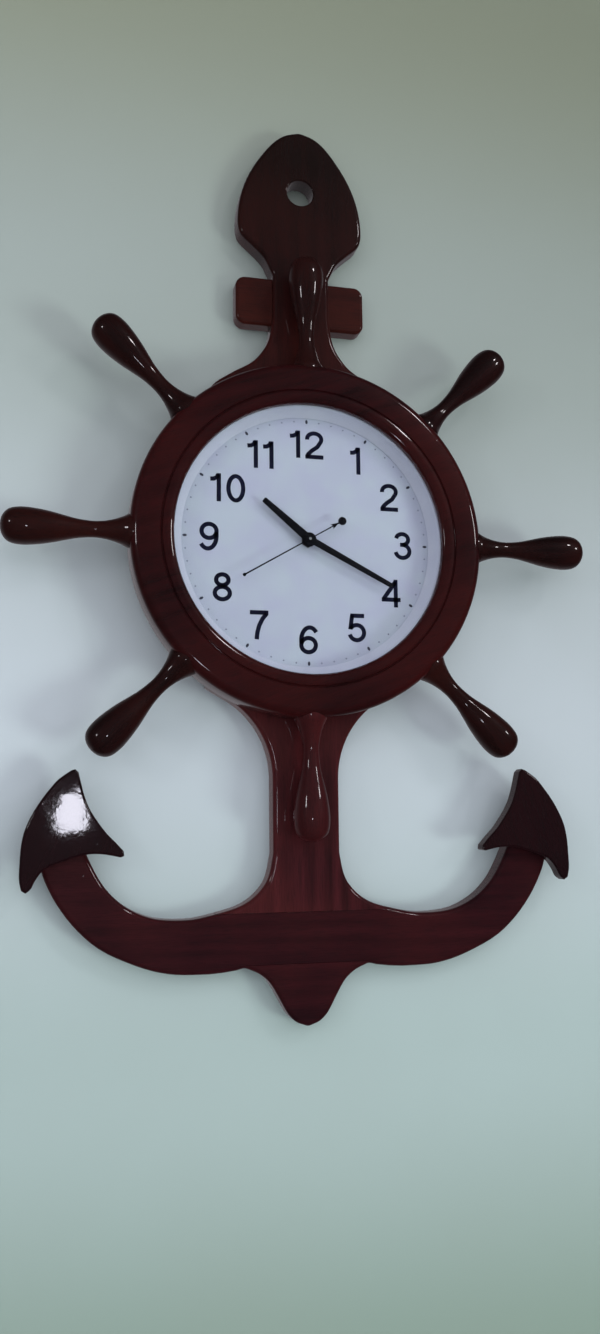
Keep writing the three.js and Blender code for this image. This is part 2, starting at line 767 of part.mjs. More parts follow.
function frontCase() {
  const rimY = splitY - seatGap / 2;
  let shell = tray(caseFrontY, rimY).subtract(trayHollow(innerFrontY, rimY + overrun));
  shell = shell.add(trainWall(innerFrontY - caseWall / 2, rimY));
  shell = shell.add(rod(stemRadius, stemTipY, caseFrontY + caseWall / 2, [0, 0], 16));
  shell = shell.subtract(rod(stemBore, stemTipY - overrun, innerFrontY + caseWall / 2, [0, 0], 16));
  const studTipY = layerY(1) + gearThick + runGap;
  shell = shell.add(rod(motionStudRadius, innerFrontY - caseWall / 2, studTipY, motionPlace));
  for (const place of [thirdPlace, intermediatePlace, rotorPlace, settingPlace]) {
    const hole = rod(arborRadius + runGap, innerFrontY - pivotDepth, innerFrontY + pivotDepth, place);
    shell = shell.subtract(hole);
  }
  return shell;
}

function rearCase() {
  const rimY = splitY + seatGap / 2;
  let shell = tray(rimY, caseBackY).subtract(trayHollow(rimY - overrun, innerBackY));
  shell = shell.add(trainWall(rimY, innerBackY + caseWall / 2));
  const mouth = block(-innerHalfX, innerHalfX, innerBackY - overrun, caseBackY + overrun,
    batteryZ - batteryRadius - seatGap, batteryZ + batteryRadius + seatGap);
  shell = shell.subtract(mouth);
  for (const place of [
    [statorLeftX + postInset, statorBottomZ + postInset],
    [statorRightX - postInset, statorBottomZ + postInset],
    [circuitLeftX + postInset, circuitTopZ - postInset],
    [circuitRightX - postInset, circuitBottomZ + postInset],
  ]) {
    shell = shell.add(rod(postRadius, statorBackY + seatGap, innerBackY + caseWall / 2, place));
  }
  for (const place of [[0, 0], thirdPlace, intermediatePlace, rotorPlace]) {
    const hole = rod(arborRadius + runGap, innerBackY - pivotDepth, innerBackY + pivotDepth, place);
    shell = shell.subtract(hole);
  }
  const shaftRadius = settingArborRadius + runGap;
  return shell.subtract(rod(shaftRadius, innerBackY - overrun / 2, caseBackY + overrun, settingPlace));
}

function stemNut() {
  const corner = nutAcrossHalf / Math.cos(Math.PI / 6);
  const backY = nutFrontY + nutThick;
  const hexagon = rod(corner, nutFrontY, backY, [0, 0], 6);
  return hexagon.subtract(rod(stemRadius + seatGap, nutFrontY - overrun, backY + overrun, [0, 0], 16));
}

function stemWasher() {
  return tube(washerRadius, stemHoleRadius, washerFrontY, washerFrontY + washerThick, 20);
}

// Battery across the bottom of the case, between its two contacts
function alongX(profile, sides) {
  const points = profile.map(([r, x]) => new THREE.Vector2(r, x));
  const geometry = new THREE.LatheGeometry(points, sides);
  geometry.rotateZ(-Math.PI / 2);
  return geometry;
}

function batteryCell() {
  const half = batteryBody / 2;
  const geometry = alongX([
    [0, -half],
    [batteryRadius, -half],
    [batteryRadius, half],
    [nubRadius, half],
    [nubRadius, half + nubLength],
    [0, half + nubLength],
  ], 20);
  geometry.translate(0, batteryY, batteryZ);
  return toSolid(geometry);
}

function contact(side) {
  const wallX = innerHalfX - seatGap;
  const reachX = batteryBody / 2 + (side > 0 ? nubLength : 0) + seatGap;
  const geometry = alongX([
    [0, reachX],
    [springTip, reachX],
    [springBase, wallX - contactThick / 2],
    [0, wallX - contactThick / 2],
  ], arborSides);
  geometry.translate(0, batteryY, batteryZ);
  const leaf = block(wallX - contactThick, wallX, batteryY - contactHalf, batteryY + contactHalf,
    batteryZ - contactHalf, batteryZ + contactHalf);
  const solid = toSolid(geometry).add(leaf);
  return side > 0 ? solid : solid.mirror([1, 0, 0]);
}

// Stepper motor: coil on its core, stator plate round the magnet
function statorPlate() {
  const [front, back] = [statorY - overrun, statorBackY + overrun];
  const frame = block(statorLeftX, statorRightX, statorY, statorBackY, statorBottomZ, statorTopZ);
  const window = block(statorLeftX + statorLeg, statorRightX - statorLeg, front, back,
    statorBottomZ + statorBar, statorTopZ - coreHeight);
  const hole = rod(magnetRadius + magnetAir, front, back, rotorPlace, 16);
  return frame.subtract(window).subtract(hole);
}

function coil() {
  const leftX = statorLeftX + statorLeg + seatGap;
  const rightX = statorRightX - statorLeg - seatGap;
  const geometry = alongX(closed([
    [coilBore, leftX],
    [coilRadius, leftX],
    [coilRadius, leftX + coilFlange],
    [windingRadius, leftX + coilFlange],
    [windingRadius, rightX - coilFlange],
    [coilRadius, rightX - coilFlange],
    [coilRadius, rightX],
    [coilBore, rightX],
  ]), handleSides);
  geometry.translate(0, statorY + statorThick / 2, statorTopZ - coreHeight / 2);
  return toSolid(geometry);
}

function circuitBoard() {
  const frontY = statorBackY - circuitThick;
  const board = block(circuitLeftX, circuitRightX, frontY, statorBackY, circuitBottomZ, circuitTopZ);
  const chipPlace = [(circuitLeftX + circuitRightX) / 2, (circuitBottomZ + circuitTopZ) / 2];
  const chip = rod(chipRadius, frontY - chipHeight, frontY + circuitThick / 2, chipPlace, handleSides);
  return board.add(chip);
}

// Gears lie in layers behind the front wall of the case
function layerY(layer) {
  return innerFrontY + layerStart + layer * layerPitch;
}

function moduleOf(distance, teethA, teethB) {
  return (2 * distance) / (teethA + teethB);
}

function gearDisc(teeth, gearModule, phase, layer, place) {
  const pitchRadius = (gearModule * teeth) / 2;
  const tip = pitchRadius + addendumShare * gearModule;
  const root = pitchRadius - dedendumShare * gearModule;
  const pitch = (2 * Math.PI) / teeth;
  const points = [];
  for (let i = 0; i < teeth; i += 1) {
    const middle = phase + i * pitch;
    for (const [radius, share] of [
      [root, -toothRootShare], [tip, -toothTipShare], [tip, toothTipShare], [root, toothRootShare],
    ]) {
      const angle = middle + share * pitch;
      points.push([place[0] + radius * Math.cos(angle), place[1] + radius * Math.sin(angle)]);
    }
  }
  return plate(points, layerY(layer), layerY(layer) + gearThick);
}

// Phase that puts a gap of the driven gear on a tooth of the driving one
function meshedPhase(drivingTeeth, drivingPhase, drivenTeeth, degrees) {
  const line = THREE.MathUtils.degToRad(degrees);
  return line + Math.PI + Math.PI / drivenTeeth - ((drivingPhase - line) * drivingTeeth) / drivenTeeth;
}

const rotorModule = moduleOf(rotorDistance, rotorTeeth, intermediateTeeth);
const intermediateModule = moduleOf(trainDistance, intermediatePinionTeeth, secondTeeth);
const secondModule = moduleOf(trainDistance, secondPinionTeeth, thirdTeeth);
const thirdModule = moduleOf(trainDistance, thirdPinionTeeth, centreTeeth);

function arbor(place, radius = arborRadius) {
  return rod(radius, innerFrontY - pivotReach, innerBackY + pivotReach, place);
}

function secondWheel() {
  const shaft = rod(arborRadius, secondHandY - handThick, innerBackY + pivotReach);
  const wheel = gearDisc(secondTeeth, intermediateModule, 0, 4, [0, 0]);
  return shaft.add(wheel).add(gearDisc(secondPinionTeeth, secondModule, 0, 3, [0, 0]));
}

function thirdWheel() {
  const phase = meshedPhase(secondPinionTeeth, 0, thirdTeeth, thirdAngle);
  return arbor(thirdPlace)
    .add(gearDisc(thirdTeeth, secondModule, phase, 3, thirdPlace))
    .add(gearDisc(thirdPinionTeeth, thirdModule, 0, 2, thirdPlace));
}

function centreWheel() {
  const phase = meshedPhase(thirdPinionTeeth, 0, centreTeeth, thirdAngle + 180);
  const wheel = gearDisc(centreTeeth, thirdModule, phase, 2, [0, 0]);
  const bore = rod(minuteTubeRadius + runGap, layerY(2) - overrun, layerY(2) + overrun, [0, 0], handleSides);
  return wheel.subtract(bore);
}

function intermediateWheel() {
  const pinionPhase = meshedPhase(secondTeeth, 0, intermediatePinionTeeth, intermediateAngle);
  return arbor(intermediatePlace)
    .add(gearDisc(intermediatePinionTeeth, intermediateModule, pinionPhase, 4, intermediatePlace))
    .add(gearDisc(intermediateTeeth, rotorModule, 0, 5, intermediatePlace));
}

function rotor() {
  const phase = meshedPhase(intermediateTeeth, 0, rotorTeeth, rotorAngle);
  return arbor(rotorPlace)
    .add(gearDisc(rotorTeeth, rotorModule, phase, 5, rotorPlace))
    .add(rod(magnetRadius, magnetBackY - magnetThick, magnetBackY, rotorPlace, handleSides));
}

function cannonPinion() {
  const backY = layerY(3) - seatGap;
  const tubeSolid = rod(minuteTubeRadius, minuteHandY - handThick, backY, [0, 0], handleSides);
  const pinion = gearDisc(cannonTeeth, motionModule, 0, 1, [0, 0]);
  const bore = rod(arborRadius + runGap, minuteHandY - handThick - overrun, backY + overrun);
  return tubeSolid.add(pinion).subtract(bore);
}

function motionWheel() {
  const phase = meshedPhase(cannonTeeth, 0, motionTeeth, motionAngle);
  const bore = rod(motionStudRadius + runGap, layerY(0) - overrun / 2, layerY(2), motionPlace);
  const [neckFront, neckBack] = [layerY(0) + gearThick / 2, layerY(1) + gearThick / 2];
  const neck = rod(motionNeckRadius, neckFront, neckBack, motionPlace, handleSides);
  return gearDisc(motionTeeth, motionModule, phase, 1, motionPlace)
    .add(neck)
    .add(gearDisc(motionPinionTeeth, motionModule, 0, 0, motionPlace))
    .subtract(bore);
}

function hourWheel() {
  const phase = meshedPhase(motionPinionTeeth, 0, hourTeeth, motionAngle + 180);
  const backY = layerY(0) + gearThick / 2;
  const tubeSolid = rod(hourTubeRadius, hourHandY - handThick, backY, [0, 0], handleSides);
  const bore = rod(minuteTubeRadius + runGap, hourHandY - overrun, backY + overrun, [0, 0], handleSides);
  return gearDisc(hourTeeth, motionModule, phase, 0, [0, 0]).add(tubeSolid).subtract(bore);
}

function settingKnob() {
  const motionPhase = meshedPhase(cannonTeeth, 0, motionTeeth, motionAngle);
  const phase = meshedPhase(motionTeeth, motionPhase, settingTeeth, settingAngle);
  const pivot = rod(arborRadius, innerFrontY - pivotReach, layerY(1) + gearThick / 2, settingPlace);
  const shaft = rod(settingArborRadius, layerY(1) + gearThick / 2, caseBackY + knobThick / 2, settingPlace);
  const points = [];
  for (let i = 0; i < knobRibs * 2; i += 1) {
    const radius = knobRadius - (i % 2) * knobRibDepth;
    const angle = (Math.PI * i) / knobRibs;
    points.push([settingPlace[0] + radius * Math.cos(angle), settingPlace[1] + radius * Math.sin(angle)]);
  }
  const knob = plate(points, caseBackY + seatGap, caseBackY + seatGap + knobThick);
  return pivot.add(shaft).add(knob).add(gearDisc(settingTeeth, motionModule, phase, 1, settingPlace));
}

// Hands stand in front of the stem, each with its own level; they are made pointing up
function handPlate(points, backY) {
  return plate(points, backY - handThick, backY);
}

function hubDisc(radius, backY, bore, sides) {
  const disc = rod(radius, backY - handThick, backY, [0, 0], sides);
  return bore > 0 ? disc.subtract(rod(bore, backY - overrun, backY + overrun, [0, 0], handleSides)) : disc;
}

function bladeHand(length, half, tipShare, backY, bore) {
  const blade = handPlate([
    [-half, 0], [half, 0], [half * tipShare, length - half * tipShare], [half * tipShare / 2, length],
    [-half * tipShare / 2, length], [-half * tipShare, length - half * tipShare],
  ], backY);
  const hub = hubDisc(handHubRadius, backY, 0, 20);
  const hole = rod(bore, backY - overrun, backY + overrun, [0, 0], handleSides);
  return blade.add(hub).subtract(hole);
}

function secondHand() {
  const backY = secondHandY;
  const arrowHalf = secondBallRadius * arrowHalfShare;
  const arrowLength = secondBallRadius * arrowLengthShare;
  const needle = handPlate([
    [-secondHandHalf, -secondTail], [secondHandHalf, -secondTail],
    [secondHandHalf / 2, secondHandLength], [-secondHandHalf / 2, secondHandLength],
  ], backY);
  const ball = rod(secondBallRadius, backY - handThick, backY, [0, -secondTail], 16);
  const collar = hubDisc(secondHubRadius, backY, 0, handleSides);
  const arrowZ = secondBallRadius * arrowPlaceShare - secondTail;
  const arrow = handPlate([
    [-arrowHalf, arrowZ], [0, arrowZ - arrowLength], [arrowHalf, arrowZ], [0, arrowZ + arrowLength],
  ], backY);
  const bore = rod(arborRadius + runGap, backY - overrun, backY + overrun);
  return needle.add(ball).add(collar).add(arrow).subtract(bore);
}

// The clock, put together round the dial's centre
const group = new THREE.Group();
const clock = new THREE.Group();
clock.position.set(0, 0, -hangZ);
group.add(clock);

function piece(name, solid, look, parent = clock) {
  const material = new THREE.MeshStandardMaterial(look);
  const mesh = new THREE.Mesh(toGeometry(solid), material);
  mesh.name = name;
  parent.add(mesh);
  return mesh;
}

const { shank, arms, crown } = anchorBoards();
piece("anchor_head", headBoard(), darkWood);
piece("stock_bar", stockBar(), darkWood);
piece("shank_board", shank, darkWood);
piece("arm_board", arms, warmWood);
piece("crown_tip", crown, darkWood);
piece("fluke_left", fluke(-1), darkWood);
piece("fluke_right", fluke(1), darkWood);
piece("shank_dowel_left", dowel(-1, 0), hardboard);
piece("shank_dowel_right", dowel(1, 0), hardboard);
piece("wheel_rim", wheelRim(), darkWood);

const handleShape = handleSolid();
for (let i = 0; i < handleCount; i += 1) {
  const mesh = piece(`wheel_handle_${i + 1}`, handleShape, warmWood);
  mesh.rotation.y = (2 * Math.PI * i) / handleCount;
}

rimScrewPlaces().forEach((place, i) => {
  piece(`rim_screw_${i + 1}`, woodScrew(rimScrewLength, -seatGap, 0, place), steel);
});
flukeScrewPlaces(-1).forEach((place, i) => {
  piece(`fluke_screw_${i + 1}`, woodScrew(flukeScrewLength, -seatGap, 0, place), steel);
});
flukeScrewPlaces(1).forEach((place, i) => {
  piece(`fluke_screw_${i + 3}`, woodScrew(flukeScrewLength, -seatGap, 0, place), steel);
});
clipAngles().forEach((angle, i) => {
  const clip = piece(`dial_clip_${i + 1}`, clipSolid(), steel);
  const screw = piece(`clip_screw_${i + 1}`, clipScrew(0), steel);
  clip.rotation.y = THREE.MathUtils.degToRad(angle);
  screw.rotation.y = THREE.MathUtils.degToRad(angle);
});

piece("dial_glass", glassDisc(), clearGlass);
piece("dial_ring", dialRing(), whitePlastic);
piece("dial_plate", dialPlate(), dialWhite);
piece("dial_backing", dialBacking(), hardboard);

piece("movement_front_case", frontCase(), blackPlastic);
piece("movement_rear_case", rearCase(), blackPlastic);
piece("stem_nut", stemNut(), brass);
piece("stem_washer", stemWasher(), rubber);
piece("battery", batteryCell(), batterySkin);
piece("contact_plus", contact(1), steel);
piece("contact_minus", contact(-1), steel);
piece("stator", statorPlate(), steel);
piece("coil", coil(), copper);
piece("circuit_board", circuitBoard(), boardGreen);

piece("rotor", rotor(), gearPlastic);
piece("intermediate_wheel", intermediateWheel(), gearPlastic);
piece("second_wheel", secondWheel(), gearPlastic);
piece("third_wheel", thirdWheel(), gearPlastic);
piece("centre_wheel", centreWheel(), gearPlastic);
piece("cannon_pinion", cannonPinion(), brass);
piece("motion_wheel", motionWheel(), gearPlastic);
piece("hour_wheel", hourWheel(), gearPlastic);
piece("set_knob", settingKnob(), blackPlastic);

const hourBore = hourTubeRadius + runGap;
const hourBlade = bladeHand(hourHandLength, hourHandHalf, hourTipShare, hourHandY, hourBore);
const minuteBore = minuteTubeRadius + runGap;
const minuteBlade = bladeHand(minuteHandLength, minuteHandHalf, minuteTipShare, minuteHandY, minuteBore);
const hour = piece("hour_hand", hourBlade, blackPaint);
const minute = piece("minute_hand", minuteBlade, blackPaint);
const second = piece("second_hand", secondHand(), blackPaint);
hour.rotation.y = THREE.MathUtils.degToRad(hourAngle);
minute.rotation.y = THREE.MathUtils.degToRad(minuteAngle);
second.rotation.y = THREE.MathUtils.degToRad(secondAngle);

export default group;
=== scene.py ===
# %% [markdown]
# A wooden wall clock: a ship's wheel on an anchor
#
# The clock is a turned ring with eight turned handles, fixed on a flat anchor that is sawn from
# boards. All of the wood is stained dark and lies under thick, glossy lacquer. The ring holds a
# glass, a pale ring, a white dial and a quartz movement.
#
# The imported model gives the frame: every piece is already at its place and at its real size. This
# lesson puts the fine surfaces on it: smooth outlines, eased edges, turned sections and finishes.

# %% Load the frame
import math

import bmesh
import bpy
from mathutils import Matrix, Vector


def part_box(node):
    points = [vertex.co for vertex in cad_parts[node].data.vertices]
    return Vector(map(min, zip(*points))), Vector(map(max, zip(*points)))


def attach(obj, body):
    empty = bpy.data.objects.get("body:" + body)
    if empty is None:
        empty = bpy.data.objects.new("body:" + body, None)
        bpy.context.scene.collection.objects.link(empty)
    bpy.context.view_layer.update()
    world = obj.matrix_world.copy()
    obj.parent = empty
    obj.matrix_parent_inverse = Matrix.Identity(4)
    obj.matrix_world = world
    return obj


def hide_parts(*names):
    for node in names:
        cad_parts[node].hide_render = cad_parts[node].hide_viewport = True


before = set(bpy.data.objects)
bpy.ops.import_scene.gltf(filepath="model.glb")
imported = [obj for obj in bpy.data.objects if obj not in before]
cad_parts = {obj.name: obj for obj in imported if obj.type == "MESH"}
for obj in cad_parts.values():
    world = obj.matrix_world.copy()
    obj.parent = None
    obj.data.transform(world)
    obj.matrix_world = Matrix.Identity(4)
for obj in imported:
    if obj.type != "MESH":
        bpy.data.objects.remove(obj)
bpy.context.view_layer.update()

# %% [markdown]
# All lengths below are written in millimetres times `mm`, because Blender counts in metres here.
# Most places are read off the frame's boxes, so that a piece can't miss its neighbour. The dial's
# centre is the middle of the rim's box, and each depth is a plane that a box ends on.

# %% Read the main places off the frame
mm = 0.001
skin = 0.05 * mm

rim_low, rim_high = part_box("wheel_rim")
dial_z = (rim_low.z + rim_high.z) / 2
centre = Vector((0, 0, dial_z))
rim_radius = (rim_high.x - rim_low.x) / 2
rim_front = rim_low.y
rim_back = rim_high.y
board_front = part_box("shank_board")[0].y
glass_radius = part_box("dial_glass")[1].x
dial_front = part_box("dial_plate")[0].y
print("rim radius in mm:", round(rim_radius / mm, 1), "dial centre below the origin:", round(-dial_z / mm, 1))

# %% [markdown]
# An operator works on what is selected, so the first helpers choose one piece, open it for
# editing and pick faces, edges or corners by a test in code. A pick by place or by normal stays
# right when a size changes, which a pick by number doesn't.

# %% Helpers for choosing and editing
def deselect():
    bpy.ops.object.select_all(action="DESELECT")


def choose(piece):
    deselect()
    piece.hide_viewport = False
    piece.select_set(True)
    bpy.context.view_layer.objects.active = piece


def apply_place():
    """Writes the active piece's place, turn and size into its mesh."""
    bpy.ops.object.transform_apply(location=True, rotation=True, scale=True)
    return bpy.context.object


def start_edit(piece, kind="FACE"):
    choose(piece)
    bpy.ops.object.mode_set(mode="EDIT")
    bpy.ops.mesh.select_mode(type=kind)
    bpy.ops.mesh.select_all(action="SELECT")


def end_edit():
    bpy.ops.object.mode_set(mode="OBJECT")


def pick(piece, kind, test):
    bpy.ops.mesh.select_mode(type=kind)
    bpy.ops.mesh.select_all(action="DESELECT")
    body = bmesh.from_edit_mesh(piece.data)
    items = {"VERT": body.verts, "EDGE": body.edges, "FACE": body.faces}[kind]
    picked = [item for item in items if test(item)]
    for item in picked:
        item.select_set(True)
    body.select_flush_mode()
    bmesh.update_edit_mesh(piece.data)
    return len(picked)


def smooth(piece, degrees):
    choose(piece)
    bpy.ops.object.shade_smooth_by_angle(angle=math.radians(degrees))


def ease_edges(piece, test, width, segments):
    """Rounds over the edges that a test picks, and gives their number."""
    start_edit(piece, "EDGE")
    count = pick(piece, "EDGE", test)
    bpy.ops.mesh.bevel(offset=width, segments=segments, profile=0.5, affect="EDGES", clamp_overlap=False)
    end_edit()
    return count


def apply_modifier(piece, kind, **settings):
    choose(piece)
    modifier = piece.modifiers.new(kind.title(), kind)
    for name, value in settings.items():
        setattr(modifier, name, value)
    bpy.ops.object.modifier_apply(modifier=modifier.name)


# %% [markdown]
# Nearly every part of this clock is either sawn along an outline or turned on a lathe. Both begin
# as a circle primitive with one corner for each point of the line. The corners are moved onto the
# line, and the ring is then filled and pulled out, or spun round an axis.

# %% Helpers for outlines and turned sections
def ring_of(name, corners, closed=True):
    deselect()
    bpy.ops.mesh.primitive_circle_add(vertices=len(corners), fill_type="NOTHING")
    ring = bpy.context.object
    ring.name = name
    ring.data.name = name
    for corner, place in zip(ring.data.vertices, corners):
        corner.co = place
    if not closed:
        start_edit(ring, "EDGE")
        ends = {0, len(corners) - 1}
        pick(ring, "EDGE", lambda edge: {v.index for v in edge.verts} == ends)
        bpy.ops.mesh.delete(type="EDGE")
        end_edit()
    return ring


def tidy_mesh(piece, weld=0.002 * mm):
    start_edit(piece, "VERT")
    bpy.ops.mesh.remove_doubles(threshold=weld)
    bpy.ops.mesh.dissolve_degenerate(threshold=weld)
    bpy.ops.mesh.select_all(action="SELECT")
    bpy.ops.mesh.normals_make_consistent(inside=False)
    end_edit()


def spun(name, section, steps, axis=(0, 1, 0), middle=None, closed=True):
    piece = ring_of(name, section, closed)
    start_edit(piece, "EDGE")
    bpy.ops.mesh.spin(steps=steps, angle=math.tau, center=middle or centre, axis=axis)
    end_edit()
    tidy_mesh(piece)
    return piece


def turned(name, profile, steps):
    """A piece turned round the dial's axis, from points of (radius, depth)."""
    return spun(name, [(radius, depth, dial_z) for radius, depth in profile], steps)


def turned_at(name, place, profile, steps):
    """The same round a level axis through another place, with its profile open on that axis."""
    corners = [(place.x + radius, depth, place.z) for radius, depth in profile]
    return spun(name, corners, steps, middle=place, closed=False)


def pulled(name, outline, back, front):
    """A plate sawn along an outline of (x, z), from its back plane to its front plane."""
    piece = ring_of(name, [(x, back, z) for x, z in outline])
    start_edit(piece, "EDGE")
    bpy.ops.mesh.edge_face_add()
    bpy.ops.mesh.select_mode(type="FACE")
    bpy.ops.mesh.select_all(action="SELECT")
    bpy.ops.mesh.extrude_region_move(TRANSFORM_OT_translate={"value": (0, front - back, 0)})
    bpy.ops.mesh.select_all(action="SELECT")
    bpy.ops.mesh.normals_make_consistent(inside=False)
    end_edit()
    return piece


# %% [markdown]
# A finished piece wears its material and is attached to the body it moves with, and the model's
# node that it stands for is hidden. What is only printed or pinned on a piece stands for no node.

# %% Helper that hands a piece over to the frame
def hand_over(piece, material, node=None, body="clock_body"):
    piece.data.materials.clear()
    piece.data.materials.append(material)
    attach(piece, body)
    if node:
        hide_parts(node)
    print(piece.name, "faces:", len(piece.data.polygons))


# %% [markdown]
# Colours are written as a painter would pick them, as red, green and blue from 0 to 255, and
# turned into the linear light that a shader works in. A node is added and wired in one step: each
# of its inputs is given a value of its own or another node's output.

# %% Helpers for colours and nodes
def tone(red, green, blue):
    def linear(share):
        return share / 12.92 if share <= 0.04045 else ((share + 0.055) / 1.055) ** 2.4
    return (*(linear(value / 255) for value in (red, green, blue)), 1)


def give(tree, socket, value):
    if isinstance(value, bpy.types.NodeSocket):
        tree.links.new(value, socket)
    else:
        socket.default_value = value


def feed(tree, node, **inputs):
    for name, value in inputs.items():
        give(tree, node.inputs[name.replace("_", " ")], value)
    return node


def add(tree, kind, **inputs):
    return feed(tree, tree.nodes.new(kind), **inputs)


def maths(tree, operation, *values):
    node = tree.nodes.new("ShaderNodeMath")
    node.operation = operation
    for socket, value in zip(node.inputs, values):
        give(tree, socket, value)
    return node.outputs[0]


def spread(tree, value, low, high, from_low=0.0, from_high=1.0):
    """Maps a value that varies from one range to another."""
    return add(tree, "ShaderNodeMapRange", Value=value, From_Min=from_low, From_Max=from_high,
               To_Min=low, To_Max=high).outputs["Result"]


def blend_colours(tree, share, first, second):
    """Mixes two colours, written as a painter would or given by other nodes, by a share."""
    mix = tree.nodes.new("ShaderNodeMix")
    mix.data_type = "RGBA"
    give(tree, mix.inputs["Factor"], share)
    for socket, colour in ((mix.inputs[6], first), (mix.inputs[7], second)):
        give(tree, socket, tone(*colour) if isinstance(colour, tuple) else colour)
    return mix.outputs[2]


def noise(tree, place, scale, detail, roughness=0.5, distortion=0.0, stretch=None):
    """Noise over a place. It is drawn out along an axis where the stretch is a small number."""
    if stretch:
        place = add(tree, "ShaderNodeMapping", Vector=place, Scale=stretch).outputs["Vector"]
    return add(tree, "ShaderNodeTexNoise", Vector=place, Scale=scale, Detail=detail,
               Roughness=roughness, Distortion=distortion).outputs["Fac"]


# %% [markdown]
# Wood shows growth rings drawn out along the board, with short dark pores between them. All the
# wooden pieces share this figure, so it is a node group. It reads a place whose first number runs
# along the grain, and gives masks only. Each material chooses its own colours for them.

# %% Node group: wood figure
def group_of(name, inputs, outputs):
    """A node group: its tree, the sockets it is given, and the node that takes its results."""
    tree = bpy.data.node_groups.new(name, "ShaderNodeTree")
    for title, value in inputs.items():
        kind = "NodeSocketVector" if value is None else "NodeSocketFloat"
        socket = tree.interface.new_socket(title, in_out="INPUT", socket_type=kind)
        if value is not None:
            socket.default_value = value
    for title in outputs:
        tree.interface.new_socket(title, in_out="OUTPUT", socket_type="NodeSocketFloat")
    return tree, tree.nodes.new("NodeGroupInput").outputs, tree.nodes.new("NodeGroupOutput")


drift_in_rings = 5.0
streak_share = 0.65
wood_figure, given, result = group_of(
    "Wood figure", {"Grain place": None, "Ring spacing": 0.009}, ["Rings", "Pores", "Clouds"])
place = given["Grain place"]
across = add(wood_figure, "ShaderNodeSeparateXYZ", Vector=place).outputs["Y"]
rings_across = maths(wood_figure, "DIVIDE", across, given["Ring spacing"])
drift = noise(wood_figure, place, 22.0, 3.0, stretch=(0.16, 1, 0.6))
wandering = maths(wood_figure, "MULTIPLY_ADD", drift, drift_in_rings, rings_across)
streaks = noise(wood_figure, place, 130.0, 4.0, 0.65, 0.3, stretch=(0.05, 1, 0.5))
ringed = maths(wood_figure, "PINGPONG", wandering, 1.0)
streaked = spread(wood_figure, streaks, 0, 1, 0.3, 0.7)
figured = add(wood_figure, "ShaderNodeMix", Factor=streak_share, A=ringed, B=streaked)
fibres = noise(wood_figure, place, 1100.0, 2.0, 0.6, stretch=(0.07, 1, 1))
clouds = noise(wood_figure, place, 9.0, 2.0)
pores = spread(wood_figure, fibres, 0, 1, 0.48, 0.68)
feed(wood_figure, result, Rings=figured.outputs["Result"], Pores=pores,
     Clouds=spread(wood_figure, clouds, 0, 1, 0.35, 0.65))
print("nodes in the wood figure:", len(wood_figure.nodes))

# %% [markdown]
# Brushed lacquer never lies quite flat. It keeps long, low waves, a few specks of dust are caught
# in it, and where it was sprayed it has a fine orange peel. The group gives one height for a Bump
# node. How proud the specks and the peel stand are inputs.

# %% Node group: lacquer skin
speck_reach = 0.08
speck_chance = 0.55
lacquer_skin, given, result = group_of(
    "Lacquer skin", {"Place": None, "Wave size": 55.0, "Specks": 0.8, "Orange peel": 0.0}, ["Height"])
waves = noise(lacquer_skin, given["Place"], given["Wave size"], 1.5, 0.4)
cells = add(lacquer_skin, "ShaderNodeTexVoronoi", Vector=given["Place"], Scale=70.0).outputs
dust = add(lacquer_skin, "ShaderNodeMapRange", Value=cells["Distance"], From_Max=speck_reach,
           To_Min=1.0, To_Max=0.0)
dust.interpolation_type = "SMOOTHSTEP"
chance = add(lacquer_skin, "ShaderNodeSeparateColor", Color=cells["Color"]).outputs["Red"]
chosen = maths(lacquer_skin, "GREATER_THAN", chance, speck_chance)
specks = maths(lacquer_skin, "MULTIPLY", dust.outputs["Result"], chosen)
raised = maths(lacquer_skin, "MULTIPLY_ADD", specks, given["Specks"], waves)
peel = noise(lacquer_skin, given["Place"], 420.0, 1.0)
feed(lacquer_skin, result, Height=maths(lacquer_skin, "MULTIPLY_ADD", peel, given["Orange peel"], raised))
print("nodes in the lacquer skin:", len(lacquer_skin.nodes))

# %% [markdown]
# Plastic, paint and metal vary too, by fine mould texture, faint stains and handling marks. The
# last group gives two masks, one broad and one fine, for materials to use as they need.

# %% Node group: handling marks
handling, given, result = group_of("Handling marks", {"Place": None, "Fine scale": 900.0}, ["Broad", "Fine"])
broad = noise(handling, given["Place"], 35.0, 3.0)
feed(handling, result, Broad=spread(handling, broad, 0, 1, 0.35, 0.65),
     Fine=noise(handling, given["Place"], given["Fine scale"], 2.0))
print("nodes in the handling marks:", len(handling.nodes))


# %% [markdown]
# The lacquered wood is one recipe in several tones. Stain and figure are the base, which is dull.
# The lacquer is the coat over it, which is smooth and takes the light. The grain place is kept on
# each piece as an attribute, so that it follows the board or the handle and not the room. The
# head darkens towards its top: this is painted shade, where the light falls off.

# %% Material: lacquered wood
def new_material(name):
    material = bpy.data.materials.new(name)
    material.use_nodes = True
    return material, material.node_tree


def shade(tree, **inputs):
    """Feeds the material's own Principled shader."""
    return feed(tree, tree.nodes["Principled BSDF"], **inputs)


def place_on(tree):
    return add(tree, "ShaderNodeTexCoord").outputs["Object"]


def group_node(tree, group, **inputs):
    node = tree.nodes.new("ShaderNodeGroup")
    node.node_tree = group
    return feed(tree, node, **inputs).outputs


def bump(tree, height, distance):
    return add(tree, "ShaderNodeBump", Strength=1.0, Distance=distance, Height=height).outputs["Normal"]


cloud_share, pore_share = 0.6, 0.4
skin_height, pore_depth = 0.12 * mm, 0.02 * mm
# Painted shade: the tone the head darkens to at its top, and how much of it is laid on.
painted_head_shade_tone, painted_head_shade_share = (9, 6, 4), 0.85


